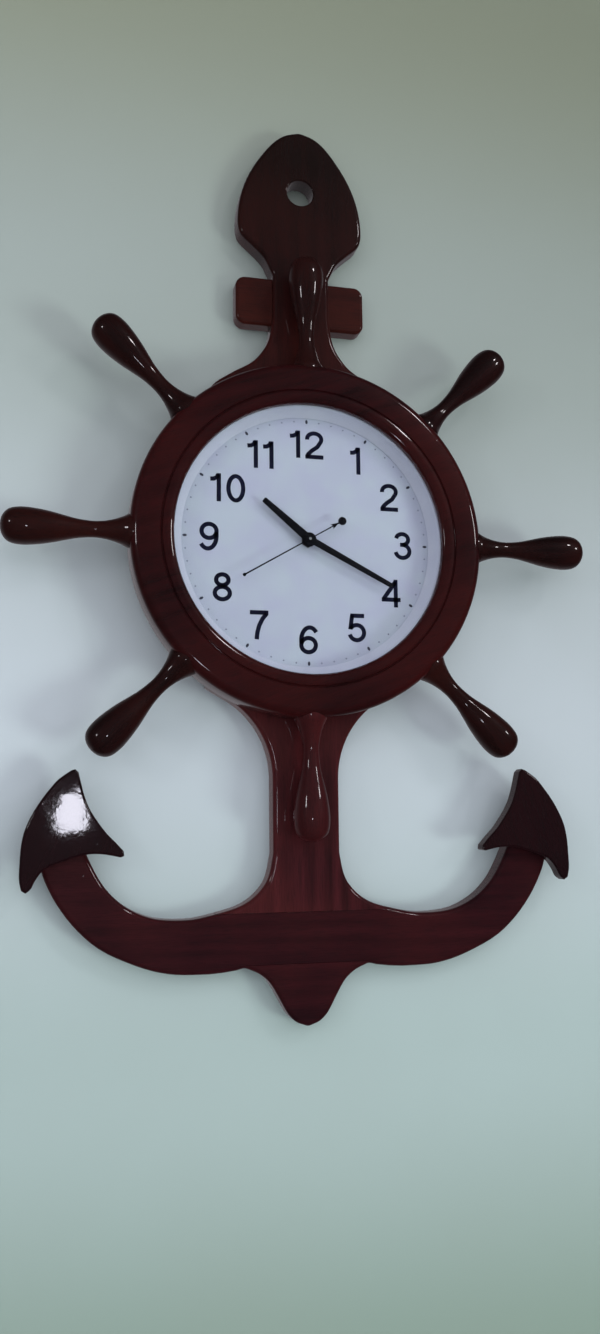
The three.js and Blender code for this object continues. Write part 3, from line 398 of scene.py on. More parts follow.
def lacquered_wood(name, dark, light, warm, peel=0.0, painted_head_shade_heights=None):
    material, tree = new_material(name)
    grain = tree.nodes.new("ShaderNodeAttribute")
    grain.attribute_name = "grain"
    along = grain.outputs["Vector"]
    figure = group_node(tree, wood_figure, Grain_place=along)
    ringed = blend_colours(tree, figure["Rings"], dark, light)
    clouded = blend_colours(tree, figure["Clouds"], ringed, warm)
    softened = blend_colours(tree, cloud_share, ringed, clouded)
    stain_and_painted_light = blend_colours(tree, spread(tree, figure["Pores"], 0, pore_share), softened, dark)
    # Painted shade: the colour darkens towards the top, where less light falls.
    if painted_head_shade_heights:
        height = add(tree, "ShaderNodeSeparateXYZ", Vector=place_on(tree)).outputs["Z"]
        stain_and_painted_light = blend_colours(tree, spread(tree, height, 0, painted_head_shade_share, *painted_head_shade_heights), stain_and_painted_light, painted_head_shade_tone)
    lacquer = group_node(tree, lacquer_skin, Place=along, Orange_peel=peel)["Height"]
    shade(tree, Base_Color=stain_and_painted_light, Roughness=spread(tree, figure["Pores"], 0.38, 0.55),
          Specular_IOR_Level=0.12, Normal=bump(tree, figure["Pores"], pore_depth),
          Coat_Weight=1.0, Coat_Roughness=0.045, Coat_IOR=1.5, Coat_Normal=bump(tree, lacquer, skin_height))
    return material


# The head's painted shade darkens it between these two heights.
head_wood = lacquered_wood("Lacquered head", (18, 4, 4), (50, 15, 15), (64, 22, 18),
                           painted_head_shade_heights=(-200 * mm, 20 * mm))
dark_boards = lacquered_wood("Dark lacquered boards", (20, 4, 8), (50, 14, 20), (62, 20, 22))
shank_wood = lacquered_wood("Lacquered shank", (31, 9, 12), (71, 25, 30), (80, 31, 31))
fluke_wood = lacquered_wood("Dark lacquered flukes", (8, 2, 4), (22, 5, 9), (32, 8, 12), peel=0.09)
warm_stock = lacquered_wood("Warm lacquered stock", (20, 6, 6), (52, 16, 14), (62, 22, 14))
turned_wood = lacquered_wood("Lacquered turned wood", (7, 2, 2), (30, 9, 9), (48, 16, 12))
shank_handle = lacquered_wood("Redder turned wood", (22, 6, 8), (58, 19, 22), (72, 25, 26))
rim_wood = lacquered_wood("Lacquered rim wood", (14, 2, 3), (42, 8, 11), (56, 13, 12))

# %% [markdown]
# The other finishes are simpler. Each reads its place on the object, takes the handling marks and
# lets them shift colour and roughness a little, as even a new moulding or a zinc screw shows.

# %% Materials: plastic, metal, rubber, ink and dowel wood
def marked(name, colour, second, rough, rough_second, metal=0.0, fine=900.0, grit=0.0, coat=0.0, shine=0.5):
    material, tree = new_material(name)
    marks = group_node(tree, handling, Place=place_on(tree), Fine_scale=fine)
    shade(tree, Base_Color=blend_colours(tree, marks["Broad"], colour, second),
          Roughness=spread(tree, marks["Fine"], rough, rough_second), Metallic=metal,
          Specular_IOR_Level=shine, Coat_Weight=coat, Coat_Roughness=0.06)
    if grit:
        shade(tree, Normal=bump(tree, marks["Fine"], grit))
    return material


case_black = marked("Moulded black case", (30, 31, 34), (40, 41, 44), 0.4, 0.6, grit=0.04 * mm)
hand_black = marked("Satin black hands", (6, 7, 13), (11, 12, 20), 0.5, 0.65, grit=0.005 * mm, shine=0.1)
numeral_ink = marked("Numeral ink", (8, 11, 30), (15, 18, 42), 0.55, 0.7, shine=0.1)
minute_ink = marked("Minute ink", (112, 118, 140), (126, 132, 152), 0.55, 0.7)
bold_ink = marked("Five minute ink", (34, 38, 56), (48, 52, 72), 0.55, 0.7)
zinc = marked("Zinc plated steel", (188, 190, 190), (160, 163, 166), 0.28, 0.5, 1.0, 1500.0)
black_brass = marked("Blackened brass nut", (30, 29, 30), (22, 21, 23), 0.35, 0.5, 0.5)
brass = marked("Turned brass", (190, 152, 82), (170, 132, 66), 0.22, 0.4, 1.0, 1500.0)
rubber = marked("Matt rubber", (34, 34, 35), (46, 46, 47), 0.75, 0.95, grit=0.05 * mm)
gear_white = marked("Natural gear plastic", (232, 228, 214), (222, 217, 202), 0.42, 0.6)
board_green = marked("Green circuit board", (30, 92, 58), (38, 104, 66), 0.35, 0.5, coat=0.5)
copper = marked("Enamelled copper", (172, 92, 48), (150, 76, 38), 0.25, 0.4, 0.85, 2500.0)
ring_gloss = marked("Pale glossy ring", (188, 196, 211), (182, 189, 207), 0.2, 0.3, coat=0.6)
dial_white = marked("Printed dial", (180, 193, 207), (176, 184, 206), 0.6, 0.75, grit=0.004 * mm)
dowel_wood = marked("Plain dowel wood", (176, 142, 98), (160, 124, 82), 0.6, 0.8, grit=0.03 * mm)


# %% [markdown]
# Hardboard is pressed from brown wood fibre. Its back shows a fine woven mark from the press
# screen, which a pair of crossed waves gives.

# %% Material: hardboard
def pressed_board():
    material, tree = new_material("Hardboard")
    place = place_on(tree)
    marks = group_node(tree, handling, Place=place, Fine_scale=600.0)
    weave = []
    for direction in "XZ":
        wires = add(tree, "ShaderNodeTexWave", Vector=place, Scale=190.0, Distortion=0.6)
        wires.bands_direction = direction
        weave.append(wires.outputs["Fac"])
    shade(tree, Base_Color=blend_colours(tree, marks["Fine"], (88, 60, 38), (136, 98, 66)), Roughness=0.85,
          Normal=bump(tree, maths(tree, "ADD", *weave), 0.12 * mm))
    return material


hardboard = pressed_board()


# %% [markdown]
# Clear glass lets the lamps through, or the dial would lie in its shadow. So the material is glass
# for what the eye sees and plain transparent for the light that falls through it.

# %% Material: clear glass
def show_either(tree, share, first, second):
    """Shows the first shader where the share is 0, and the second where it is 1."""
    mix = add(tree, "ShaderNodeMixShader", Fac=share)
    give(tree, mix.inputs[1], first.outputs[0])
    give(tree, mix.inputs[2], second.outputs[0])
    feed(tree, tree.nodes["Material Output"], Surface=mix.outputs[0])


def clear_glass():
    material, tree = new_material("Clear glass")
    shader = shade(tree, Base_Color=tone(250, 253, 253), Roughness=0.0, IOR=1.45, Transmission_Weight=1.0)
    ray = add(tree, "ShaderNodeLightPath").outputs
    lets_light = maths(tree, "MAXIMUM", ray["Is Shadow Ray"], ray["Is Diffuse Ray"])
    show_either(tree, lets_light, shader, add(tree, "ShaderNodeBsdfTransparent"))
    return material


glass = clear_glass()

# %% [markdown]
# The boards of the anchor are sawn from 18 mm stock, and their front edges are rounded over. The
# frame's solids give the outline in short steps, so a copy is cut near its flat back, walked round
# from corner to corner, and drawn again as a smooth line. Only true corners stay sharp. The line
# through the points could be a spline object, but a formula in code keeps the saw cuts straight.

# %% Read an outline off the back of a board
close, closer = 0.01 * mm, 0.001 * mm


def sawn_outline(node, depth):
    """The outer line of a board's cut at a depth, as points of (x, z) in order."""
    cut = bmesh.new()
    cut.from_mesh(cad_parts[node].data)
    bmesh.ops.remove_doubles(cut, verts=cut.verts, dist=closer)
    bmesh.ops.bisect_plane(cut, geom=[*cut.verts, *cut.edges, *cut.faces], dist=closer,
                           plane_co=(0, depth, 0), plane_no=(0, 1, 0), clear_inner=True, clear_outer=True)
    bmesh.ops.remove_doubles(cut, verts=cut.verts, dist=close)
    lines, unseen = [], set(cut.verts)
    for start in cut.verts:
        here, line = start if start in unseen else None, []
        while here:
            unseen.discard(here)
            line.append(Vector((here.co.x, here.co.z)))
            ahead = [edge.other_vert(here) for edge in here.link_edges]
            here = next((corner for corner in ahead if corner in unseen), None)
        if line:
            lines.append(line)
    cut.free()
    longest = max(lines, key=lambda line: max(point.x for point in line) - min(point.x for point in line))
    area = sum(a.x * b.y - b.x * a.y for a, b in zip(longest, longest[1:] + longest[:1]))
    return longest if area > 0 else longest[::-1]


def straight_only(points, degrees=1.5):
    """Leaves out points that lie on a straight run between their neighbours."""
    kept = []
    for i, here in enumerate(points):
        before, after = here - points[i - 1], points[(i + 1) % len(points)] - here
        if before.length > skin and after.length > skin:
            if abs(before.angle_signed(after)) > math.radians(degrees):
                kept.append(here)
    return kept


def drawn_smooth(points, corner_degrees=38, step_degrees=4, long_share=2.5):
    """The same line with its round stretches drawn finely. Corners and long runs stay as they are."""
    count = len(points)
    runs = [points[(i + 1) % count] - points[i] for i in range(count)]
    leave, arrive = [], []
    for i in range(count):
        before, after = runs[i - 1], runs[i]
        if abs(before.angle_signed(after)) > math.radians(corner_degrees):
            leave.append(after.normalized())
            arrive.append(before.normalized())
            continue
        if before.length > long_share * after.length:
            heading = before.normalized()
        elif after.length > long_share * before.length:
            heading = after.normalized()
        else:
            heading = (before.normalized() * after.length + after.normalized() * before.length).normalized()
        leave.append(heading)
        arrive.append(heading)
    line = []
    for i in range(count):
        start, end = points[i], points[(i + 1) % count]
        out, into = leave[i] * runs[i].length, arrive[(i + 1) % count] * runs[i].length
        bend = abs(out.angle_signed(runs[i])) + abs(runs[i].angle_signed(into))
        steps = max(1, math.ceil(math.degrees(bend) / step_degrees))
        for step in range(steps):
            t = step / steps
            place = (2 * t**3 - 3 * t**2 + 1) * start + (t**3 - 2 * t**2 + t) * out
            line.append(place + (3 * t**2 - 2 * t**3) * end + (t**3 - t**2) * into)
    return line


def rough_outline(node, depth):
    rough = straight_only(sawn_outline(node, depth))
    print(node, "corners:", len(rough))
    return rough


# %% [markdown]
# Shank, arms and crown are glued up first, and sawn and eased as one blank, so that the rounded
# edge runs on over the glue lines. Their outlines are therefore welded at the saw cuts, and the
# blank is parted again with boxes, which leaves only hairlines where the glue is.

# %% Weld the outlines of shank, arms and crown
near_middle, cut_least = 30 * mm, 50 * mm
arm_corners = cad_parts["arm_board"].data.vertices
arm_top = max(corner.co.z for corner in arm_corners if abs(corner.co.x) < near_middle)
arm_joint = (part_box("shank_board")[0].z + arm_top) / 2
crown_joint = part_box("crown_tip")[1].z + 0.15 * mm


def cut_open(outline, height):
    """The outline without its level saw cut nearest a height, from one end of the cut to the other."""
    def level_run(i):
        here, there = outline[i - 1], outline[i]
        return abs(here.y - there.y) < skin and (here - there).length > cut_least
    runs = [i for i in range(len(outline)) if level_run(i)]
    first = min(runs, key=lambda i: abs(outline[i].y - height))
    line = outline[first:] + outline[:first]
    while abs(line[0].x - line[1].x) < skin:
        line = line[1:]
    while abs(line[-1].x - line[-2].x) < skin:
        line = line[:-1]
    return line


def welded(first, second, height):
    first, second = cut_open(first, height), cut_open(second, height)
    return [(first[0] + second[-1]) / 2, *first[1:-1], (first[-1] + second[0]) / 2, *second[1:-1]]


flat_depth = -3 * mm
arm_line = rough_outline("arm_board", flat_depth)
shank_line = rough_outline("shank_board", flat_depth)
crown_line = rough_outline("crown_tip", flat_depth)
blank_outline = welded(welded(arm_line, shank_line, arm_joint), crown_line, crown_joint)
print("corners of the blank:", len(blank_outline))
print("joints at mm:", round(arm_joint / mm, 2), round(crown_joint / mm, 2))

# %% [markdown]
# A board is the outline filled, pulled forward and eased by a bevel along its front edge. The
# bevel is round, and its normals lean on the large flat faces, so that the gloss stays calm there.

# %% Saw the boards of the anchor
ease = 4 * mm
ease_steps = 6
glue_line = 0.25 * mm


def sawn_board(name, outline, node, edge_ease=ease, corner_degrees=38, square_at=None):
    """A board with its front edge eased, but for the edge of a saw cut at one height."""
    low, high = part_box(node)
    board = pulled(name, drawn_smooth(outline, corner_degrees), high.y, low.y)
    near = low.y + skin

    def eased(edge):
        square = square_at is not None and all(abs(corner.co.z - square_at) < skin for corner in edge.verts)
        return not square and all(corner.co.y < near for corner in edge.verts)

    ease_edges(board, eased, edge_ease, ease_steps)
    return board


def plain_box(low, high):
    """A plain box between two corners, to cut with or to start from."""
    deselect()
    middle, size = (Vector(low) + Vector(high)) / 2, Vector(high) - Vector(low)
    bpy.ops.mesh.primitive_cube_add(size=1, location=middle, scale=size)
    return apply_place()


def drill(piece, cutters, operation="DIFFERENCE"):
    for cutter in cutters:
        apply_modifier(piece, "BOOLEAN", object=cutter, operation=operation, solver="EXACT")
        bpy.data.objects.remove(cutter)


def own_copy(piece, name, move=None):
    copy = piece.copy()
    copy.data = piece.data.copy()
    copy.name = copy.data.name = name
    bpy.context.collection.objects.link(copy)
    if move:
        copy.data.transform(move)
    return copy


def along_grain(piece, along, shift, origin=None):
    """Keeps on each corner its place along the grain, across it and in depth, in metres."""
    start = origin or centre
    attribute = piece.data.attributes.new("grain", "FLOAT_VECTOR", "POINT")
    across = Vector((0, 1, 0)).cross(along)
    for corner, entry in zip(piece.data.vertices, attribute.data):
        place = corner.co - start
        entry.vector = (place.dot(along) + shift, place.dot(across) + shift / 3, place.y)


shank_reach, crown_cut = 100 * mm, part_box("crown_tip")[1].x
deep, far = 30 * mm, 400 * mm


def shank_box(shift):
    return plain_box((-shank_reach, -deep, arm_joint + shift), (shank_reach, deep, arm_joint + far))


def crown_box(shift):
    return plain_box((-crown_cut, -deep, crown_joint - far), (crown_cut, deep, crown_joint + shift))


arms = sawn_board("arms_finish", blank_outline, "arm_board", square_at=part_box("shank_board")[1].z)
shank, crown = own_copy(arms, "shank_finish"), own_copy(arms, "crown_finish")
drill(shank, [shank_box(glue_line / 2)], "INTERSECT")
drill(crown, [crown_box(-glue_line / 2)], "INTERSECT")
drill(arms, [shank_box(-glue_line / 2), crown_box(glue_line / 2)])
behind_lap = -11 * mm
head_outline = rough_outline("anchor_head", behind_lap)
head = sawn_board("head_board", head_outline, "anchor_head", square_at=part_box("anchor_head")[0].z)
for board in (head, shank, arms, crown):
    print(board.name, "faces:", len(board.data.polygons))

# %% [markdown]
# The holes are drilled with cutters: a wide one for the hanging hole and countersunk ones for the
# screws that come in from behind. A Boolean modifier takes each cutter away and is applied at
# once. The front edge of the hanging hole is then eased.

# %% Drill the boards
head_radius, head_depth = 4 * mm, 2.3 * mm
shank_radius = 1.9 * mm
screw_clear, sink = 0.2 * mm, 0.3 * mm
drill_reach = 20 * mm
hole_radius, hole_ease = 12.5 * mm, 1.5 * mm
hole_centre = Vector((0, 0, -hole_radius))


def screw_places(kind, count=4):
    boxes = [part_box(f"{kind}_{number}") for number in range(1, count + 1)]
    return [Vector(((low.x + high.x) / 2, 0, (low.z + high.z) / 2)) for low, high in boxes]


def screw_cutter(place):
    wide, narrow = head_radius + screw_clear, shank_radius + screw_clear
    return turned_at("screw_cutter", place, [
        (0, mm), (wide, mm), (wide, -sink), (narrow, -sink - head_depth), (narrow, -drill_reach),
        (0, -drill_reach)], 24)


hole_cutter = turned_at("hole_cutter", hole_centre, [
    (0, mm), (hole_radius, mm), (hole_radius, board_front - mm), (0, board_front - mm)], 72)
rim_screws = screw_places("rim_screw")
drill(head, [hole_cutter] + [screw_cutter(place) for place in rim_screws if place.z > dial_z])
drill(shank, [screw_cutter(place) for place in rim_screws if place.z < dial_z])
drill(arms, [screw_cutter(place) for place in screw_places("fluke_screw")])


def on_hole_edge(edge):
    return all(abs((corner.co - hole_centre).xz.length - hole_radius) < skin
               and corner.co.y < board_front + skin for corner in edge.verts)


edges = ease_edges(head, on_hole_edge, hole_ease, 4)
print("edges round the hanging hole:", edges)

# %% [markdown]
# The stock crosses the neck behind it, in a half lap. So the bar is sawn whole, and the neck's
# outline, made a hair wider, is cut out of its front. The neck gets the matching notch behind.

# %% Fit the stock to the neck
stock_low, stock_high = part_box("stock_bar")
lap_depth, stock_ease = 8 * mm, 3 * mm
neck_play = 1.006
neck_cutter = pulled("neck_cutter", drawn_smooth(head_outline), -lap_depth, board_front - mm)
choose(neck_cutter)
bpy.ops.transform.resize(value=(neck_play, 1, 1), center_override=(0, 0, 0))
apply_place()
stock = sawn_board("stock_finish", rough_outline("stock_bar", -mm), "stock_bar", stock_ease)
drill(stock, [neck_cutter])

notch_clear, notch_reach = 0.15 * mm, 80 * mm
notch_low = (-notch_reach, -lap_depth - notch_clear, stock_low.z - notch_clear)
drill(head, [plain_box(notch_low, (notch_reach, mm, stock_high.z + notch_clear))])
print("notch reaches in mm:", round(-notch_low[1] / mm, 2))

# %% [markdown]
# The two flukes are thicker arrow heads, glued and screwed on the arms. Their long sides are
# straight cuts and their points are only lightly rounded, so their bevel is smaller. Then every
# board gets its grain, upright in head and shank, level in arms, crown and stock.

# %% Saw the flukes and finish the boards
fluke_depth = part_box("fluke_left")[1].y - mm
fluke_ease, fluke_corners = 2.2 * mm, 30
left_fluke, right_fluke = (
    sawn_board(f"{side}_fluke_finish", rough_outline(f"fluke_{side}", fluke_depth), f"fluke_{side}",
               fluke_ease, fluke_corners) for side in ("left", "right"))
upright, level = Vector((0, 0, 1)), Vector((1, 0, 0))
left_slope, right_slope = Vector((0.35, 0, 1)).normalized(), Vector((-0.35, 0, 1)).normalized()
for piece, node, material, along, shift in (
    (head, "anchor_head", head_wood, upright, 0.0),
    (shank, "shank_board", shank_wood, upright, 0.9),
    (arms, "arm_board", dark_boards, level, 1.7),
    (crown, "crown_tip", dark_boards, level, 2.6),
    (stock, "stock_bar", warm_stock, level, 3.4),
    (left_fluke, "fluke_left", fluke_wood, left_slope, 4.3),
    (right_fluke, "fluke_right", fluke_wood, right_slope, 5.2),
):
    along_grain(piece, along, shift)
    smooth(piece, 30)
    apply_modifier(piece, "WEIGHTED_NORMAL", keep_sharp=True)
    hand_over(piece, material, node)

# %% [markdown]
# The rim is turned on a lathe, so one section spun round the dial's axis gives all of it: the
# rounded outer edge, the slightly crowned face, a scraped groove, the bead round the opening, and
# behind it the rebate that the glass and the dial drop into.

# %% Turn the rim
rim_crown = 0.4 * mm
rim_face = rim_front + rim_crown
rim_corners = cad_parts["wheel_rim"].data.vertices
rim_bore = min(Vector((corner.co.x, corner.co.z - dial_z)).length for corner in rim_corners)
rim_rebate = rim_bore + 6.8 * mm
lip_back = rim_front + 7 * mm
rim_round = 8.5 * mm
back_chamfer = 1.5 * mm
groove_radius = rim_bore + 11.3 * mm
groove_half, groove_depth = 1.2 * mm, 1.6 * mm
bead_rise = 0.4 * mm
lip_edge = 2 * mm


def outer_radius(depth):
    """The radius of the rim's outside at a depth, for the section and for the handles' feet."""
    corner = rim_radius - rim_round
    into = rim_face + rim_round - depth
    return rim_radius if into <= 0 else corner + math.sqrt(max(0, rim_round**2 - into**2))


def rim_section():
    corner = rim_radius - rim_round
    section = [(rim_rebate, rim_back), (rim_radius - back_chamfer, rim_back)]
    section += [(rim_radius - back_chamfer * (1 - math.sin(turn)),
                 rim_back - back_chamfer * (1 - math.cos(turn))) for turn in (math.pi / 6, math.pi / 3)]
    section += [(rim_radius, rim_back - back_chamfer)]
    for step in range(13):
        turn = math.pi / 2 * step / 12
        section.append((corner + rim_round * math.cos(turn), rim_face + rim_round * (1 - math.sin(turn))))
    inner = groove_radius + groove_half
    for step in range(1, 10):
        share = step / 10
        section.append((corner + (inner - corner) * share, rim_face - rim_crown * 4 * share * (1 - share)))
    for step in range(9):
        turn = math.pi * step / 8
        section.append((groove_radius + groove_half * math.cos(turn),
                        rim_face + groove_depth * math.sin(turn)))
    bead_from, bead_to = groove_radius - groove_half, rim_bore + lip_edge
    for step in range(1, 10):
        share = step / 9
        rise = bead_rise * 4 * share * (1 - share) - lip_edge / 2 * share**3
        section.append((bead_from + (bead_to - bead_from) * share, rim_face - rise))
    section += [(rim_bore + lip_edge * 0.4, rim_face + lip_edge * 0.9), (rim_bore, rim_face + 2 * lip_edge)]
    return section + [(rim_bore, lip_back), (rim_rebate, lip_back)]


rim = turned("rim_finish", rim_section(), 192)
along_grain(rim, Vector((0.94, 0, 0.34)).normalized(), 6.1)
smooth(rim, 50)
hand_over(rim, rim_wood, "wheel_rim")

# %% [markdown]
# A handle is turned too, round its own axis. Its line is read off the frame's solid, ring by ring,
# and drawn smooth. The foot is coped: each corner of its end ring moves along the handle until it
# meets the rim. One handle is made at twelve o'clock and copied round the rim.

# %% Turn the handles
clear_of_rim, near_rim = 5 * mm, 2 * mm
foot_flats = 10


def handle_line():
    """The handle's depth, and its rings as points of (radius, distance from the dial's centre)."""
    low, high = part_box("wheel_handle_1")
    middle_y = (low.y + high.y) / 2
    rings, foot = {}, 0
    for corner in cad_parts["wheel_handle_1"].data.vertices:
        reach = corner.co.z - dial_z
        radius = math.hypot(corner.co.x, corner.co.y - middle_y)
        if reach > rim_radius + clear_of_rim:
            rings[round(reach, 4)] = max(radius, rings.get(round(reach, 4), 0))
        if reach < rim_radius + near_rim:
            foot = max(foot, corner.co.x)
    points = [(radius, reach) for reach, radius in sorted(rings.items(), reverse=True)]
    points.append((foot / math.cos(math.pi / foot_flats), rim_radius + 0.3 * mm))
    return middle_y, [Vector(point) for point in points]


def spline_through(points, steps):
    """A smooth line through all points, closed off square at its first point and free at its last."""
    first = Vector((-points[1].x, points[1].y))
    held = [first, *points, 2 * points[-1] - points[-2]]
    line = []
    for before, start, end, after in zip(held, held[1:], held[2:], held[3:]):
        for step in range(steps):
            t = step / steps
            line.append(0.5 * (2 * start + (end - before) * t
                               + (2 * before - 5 * start + 4 * end - after) * t**2
                               + (3 * start - before - 3 * end + after) * t**3))
    return line + [points[-1]]


handle_y, handle_points = handle_line()
print("handle rings:", [(round(r / mm, 1), round(z / mm, 1)) for r, z in handle_points])
handle_axis = Vector((0, handle_y, dial_z))
handle = spun(
    "wheel_handle_finish_1",
    [(max(radius, 0), handle_y, dial_z + reach) for radius, reach in spline_through(handle_points, 4)],
    56, axis=(0, 0, 1), middle=handle_axis, closed=False,
)
start_edit(handle, "EDGE")
pick(handle, "EDGE", lambda edge: edge.is_boundary)
bpy.ops.mesh.extrude_region_move(TRANSFORM_OT_translate={"value": (0, 0, -0.5 * mm)})
end_edit()
for corner in handle.data.vertices:
    if corner.co.z < dial_z + rim_radius + skin:
        corner.co.z = dial_z + math.sqrt(outer_radius(corner.co.y) ** 2 - corner.co.x**2) + 2 * skin
start_edit(handle, "EDGE")
pick(handle, "EDGE", lambda edge: edge.is_boundary)
bpy.ops.mesh.edge_face_add()
end_edit()
tidy_mesh(handle)
smooth(handle, 40)
along_grain(handle, upright, 7.0, origin=handle_axis)

# %% [markdown]
# Each copy is turned round the dial's centre by one eighth more. Its grain is shifted, so that no
# two handles look cut from the same stick. The one over the shank came from redder wood.

# %% Set the handles round the rim
handle_count = 8
redder_handle = 5
grain_step = Vector((0.83, 0.37, 0.11))


def about_dial(turn):
    return Matrix.Translation(centre) @ Matrix.Rotation(turn, 4, "Y") @ Matrix.Translation(-centre)


handles = [handle]
for number in range(2, handle_count + 1):
    turn = math.tau * (number - 1) / handle_count
    handles.append(own_copy(handle, f"wheel_handle_finish_{number}", about_dial(turn)))
    for entry in handles[-1].data.attributes["grain"].data:
        entry.vector = entry.vector + grain_step * number
for number, piece in enumerate(handles, 1):
    wood = shank_handle if number == redder_handle else turned_wood
    hand_over(piece, wood, f"wheel_handle_{number}")

# %% [markdown]
# The glass, the sloped ring and the dial are discs in the rebate. A turned section gives each its
# real edge: a ground arris on the glass, a rolled lip on the ring, a clean punched edge on the dial.

# %% Glass, ring and dial
arris = 0.25 * mm
stem_hole = 4.4 * mm


def disc(name, node, hole, back_arris, front_arris):
    low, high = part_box(node)
    section = [(hole, high.y), (glass_radius - back_arris, high.y), (glass_radius, high.y - back_arris),
               (glass_radius, low.y + front_arris), (glass_radius - front_arris, low.y), (hole, low.y)]
    piece = turned(name, list(dict.fromkeys(section)), 144)
    smooth(piece, 30)
    return piece


hand_over(disc("glass_finish", "dial_glass", 0, arris, arris), glass, "dial_glass")

ring_front, ring_back = (corner.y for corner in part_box("dial_ring"))
ring_lip, ring_inner = rim_bore - 0.5 * mm, rim_bore - 7.7 * mm
ring_roll, ring_hollow = 0.7 * mm, 0.5 * mm
slope_end, ring_edge = 0.6 * mm, 0.15 * mm


def ring_section():
    section = [(glass_radius, ring_back), (glass_radius, ring_front), (ring_lip + ring_roll, ring_front)]
    for step in range(1, 5):
        turn = math.pi / 2 * step / 4
        section.append((ring_lip + ring_roll * (1 - math.sin(turn)),
                        ring_front + ring_roll * (1 - math.cos(turn))))
    for step in range(1, 9):
        share = step / 9
        hollow = ring_hollow * 4 * share * (1 - share)
        section.append((ring_lip + (ring_inner - ring_lip) * share + hollow,
                        ring_front + ring_roll + (ring_back - ring_roll - slope_end - ring_front) * share))
    return section + [(ring_inner, ring_back - 0.5 * mm), (ring_inner + ring_edge, ring_back)]


sloped_ring = turned("ring_finish", ring_section(), 192)
smooth(sloped_ring, 30)
hand_over(sloped_ring, ring_gloss, "dial_ring")
hand_over(disc("dial_finish", "dial_plate", stem_hole, 0, arris), dial_white, "dial_plate")

# %% [markdown]
# The numerals are plain upright figures of even stroke. A text object could give them, but its
# letter shapes are another kind. So each figure is drawn as strokes: a grid primitive, one square
# wide, is bent along each stroke's middle line. The figures are thin plates that lie on the dial.

# %% Draw the numerals
figure_height = 25.2 * mm
widen = 1.3
stroke_width = 0.153
figure_step, narrow_step = 0.66, 0.56
inward = {"10": 4 * mm, "11": mm}
print_thick = 0.04 * mm
numeral_radius = 88 * mm


def bow(x, z, width, height, start, end, steps=18):
    """Points on an oval bow, with angles in degrees from the right, anticlockwise."""
    turns = [math.radians(start + (end - start) * step / steps) for step in range(steps + 1)]
    return [(x + width * math.cos(turn), z + height * math.sin(turn)) for turn in turns]


six = [
    bow(0.285, 0.315, 0.2, 0.2475, 0, 360, 28),
    bow(0.32, 0.47, 0.235, 0.4625, 40, 196, 16),
]
figures = {
    "0": [bow(0.28, 0.5, 0.2, 0.4325, 0, 360, 32)],
    "1": [[(0.33, 1.0), (0.33, 0.0)], [(0.1, 0.79), (0.2, 0.8), (0.28, 0.86), (0.31, 0.96)]],
    "2": [bow(0.275, 0.72, 0.2, 0.2125, 188, -28, 16)
          + [(0.36, 0.44), (0.2, 0.29), (0.1, 0.16), (0.07, 0.07)],
          [(0.02, 0.0675), (0.53, 0.0675)]],
    "3": [bow(0.265, 0.735, 0.175, 0.1975, 172, -90, 16), bow(0.27, 0.3, 0.2, 0.2375, 92, -172, 18),
          [(0.2, 0.5375), (0.28, 0.5375)]],
    "4": [[(0.405, 0.0), (0.405, 1.0)], [(0.0, 0.275), (0.54, 0.275)], [(0.4, 0.92), (0.05, 0.29)]],
    "5": [[(0.1, 0.9325), (0.49, 0.9325)], [(0.15, 0.94), (0.095, 0.44)],
          bow(0.275, 0.335, 0.205, 0.2675, 148, -165, 20)],
    "6": six,
    "7": [[(0.02, 0.9325), (0.52, 0.9325)],
          [(0.48, 0.91), (0.36, 0.72), (0.27, 0.48), (0.22, 0.24), (0.2, 0.0)]],
    "8": [bow(0.28, 0.745, 0.165, 0.1875, 0, 360, 26), bow(0.28, 0.285, 0.2, 0.2175, 0, 360, 28)],
    "9": [[(0.56 - x, 1 - z) for x, z in stroke] for stroke in six],
}


def stroke_plate(stroke, left, bottom):
    """One stroke as a flat strip on the dial. The strip is square at its ends."""
    line = [Vector((x * widen, z)) for x, z in stroke]
    looped = (line[0] - line[-1]).length < 1e-6
    deselect()
    bpy.ops.mesh.primitive_grid_add(x_subdivisions=len(line) - 1, y_subdivisions=1)
    strip = bpy.context.object
    for i, here in enumerate(line):
        before = line[i - 1] if i else (line[-2] if looped else here)
        after = line[i + 1] if i + 1 < len(line) else (line[1] if looped else here)
        heading = (after - before).normalized()
        side = Vector((-heading.y, heading.x)) * stroke_width / 2
        for row, place in enumerate((here - side, here + side)):
            corner = strip.data.vertices[row * len(line) + i]
            corner.co = (left + place.x * figure_height, dial_front - skin / 2,
                         bottom + place.y * figure_height)
    return strip


def joined(name, parts):
    choose(parts[0])
    for part in parts:
        part.select_set(True)
    bpy.ops.object.join()
    whole = bpy.context.object
    whole.name = name
    whole.data.name = name
    return whole


def numeral(number):
    turn = math.tau * number / 12
    text = str(number)
    advance = (narrow_step if text == "11" else figure_step) * figure_height
    reach = [place * advance + x * widen * figure_height
             for place, figure in enumerate(text) for stroke in figures[figure] for x, z in stroke]
    left = numeral_radius * math.sin(turn) - (min(reach) + max(reach)) / 2 + inward.get(text, 0)
    bottom = dial_z + numeral_radius * math.cos(turn) - figure_height / 2
    return [stroke_plate(stroke, left + place * advance, bottom)
            for place, figure in enumerate(text) for stroke in figures[figure]]


numerals = joined("numerals", [strip for number in range(1, 13) for strip in numeral(number)])
start_edit(numerals, "FACE")
bpy.ops.mesh.remove_doubles(threshold=0.01 * mm)
bpy.ops.mesh.select_all(action="SELECT")
bpy.ops.mesh.normals_make_consistent(inside=False)
end_edit()
apply_modifier(numerals, "SOLIDIFY", thickness=print_thick, offset=0)
hand_over(numerals, numeral_ink)

# %% [markdown]
# Round the numerals runs the minute ring: sixty small printed dots, with every fifth one bolder.

# %% Print the minute dots
minute_radius = 109 * mm
dot_radius, bold_radius = 0.75 * mm, 1.15 * mm
bold_stretch = 1.7


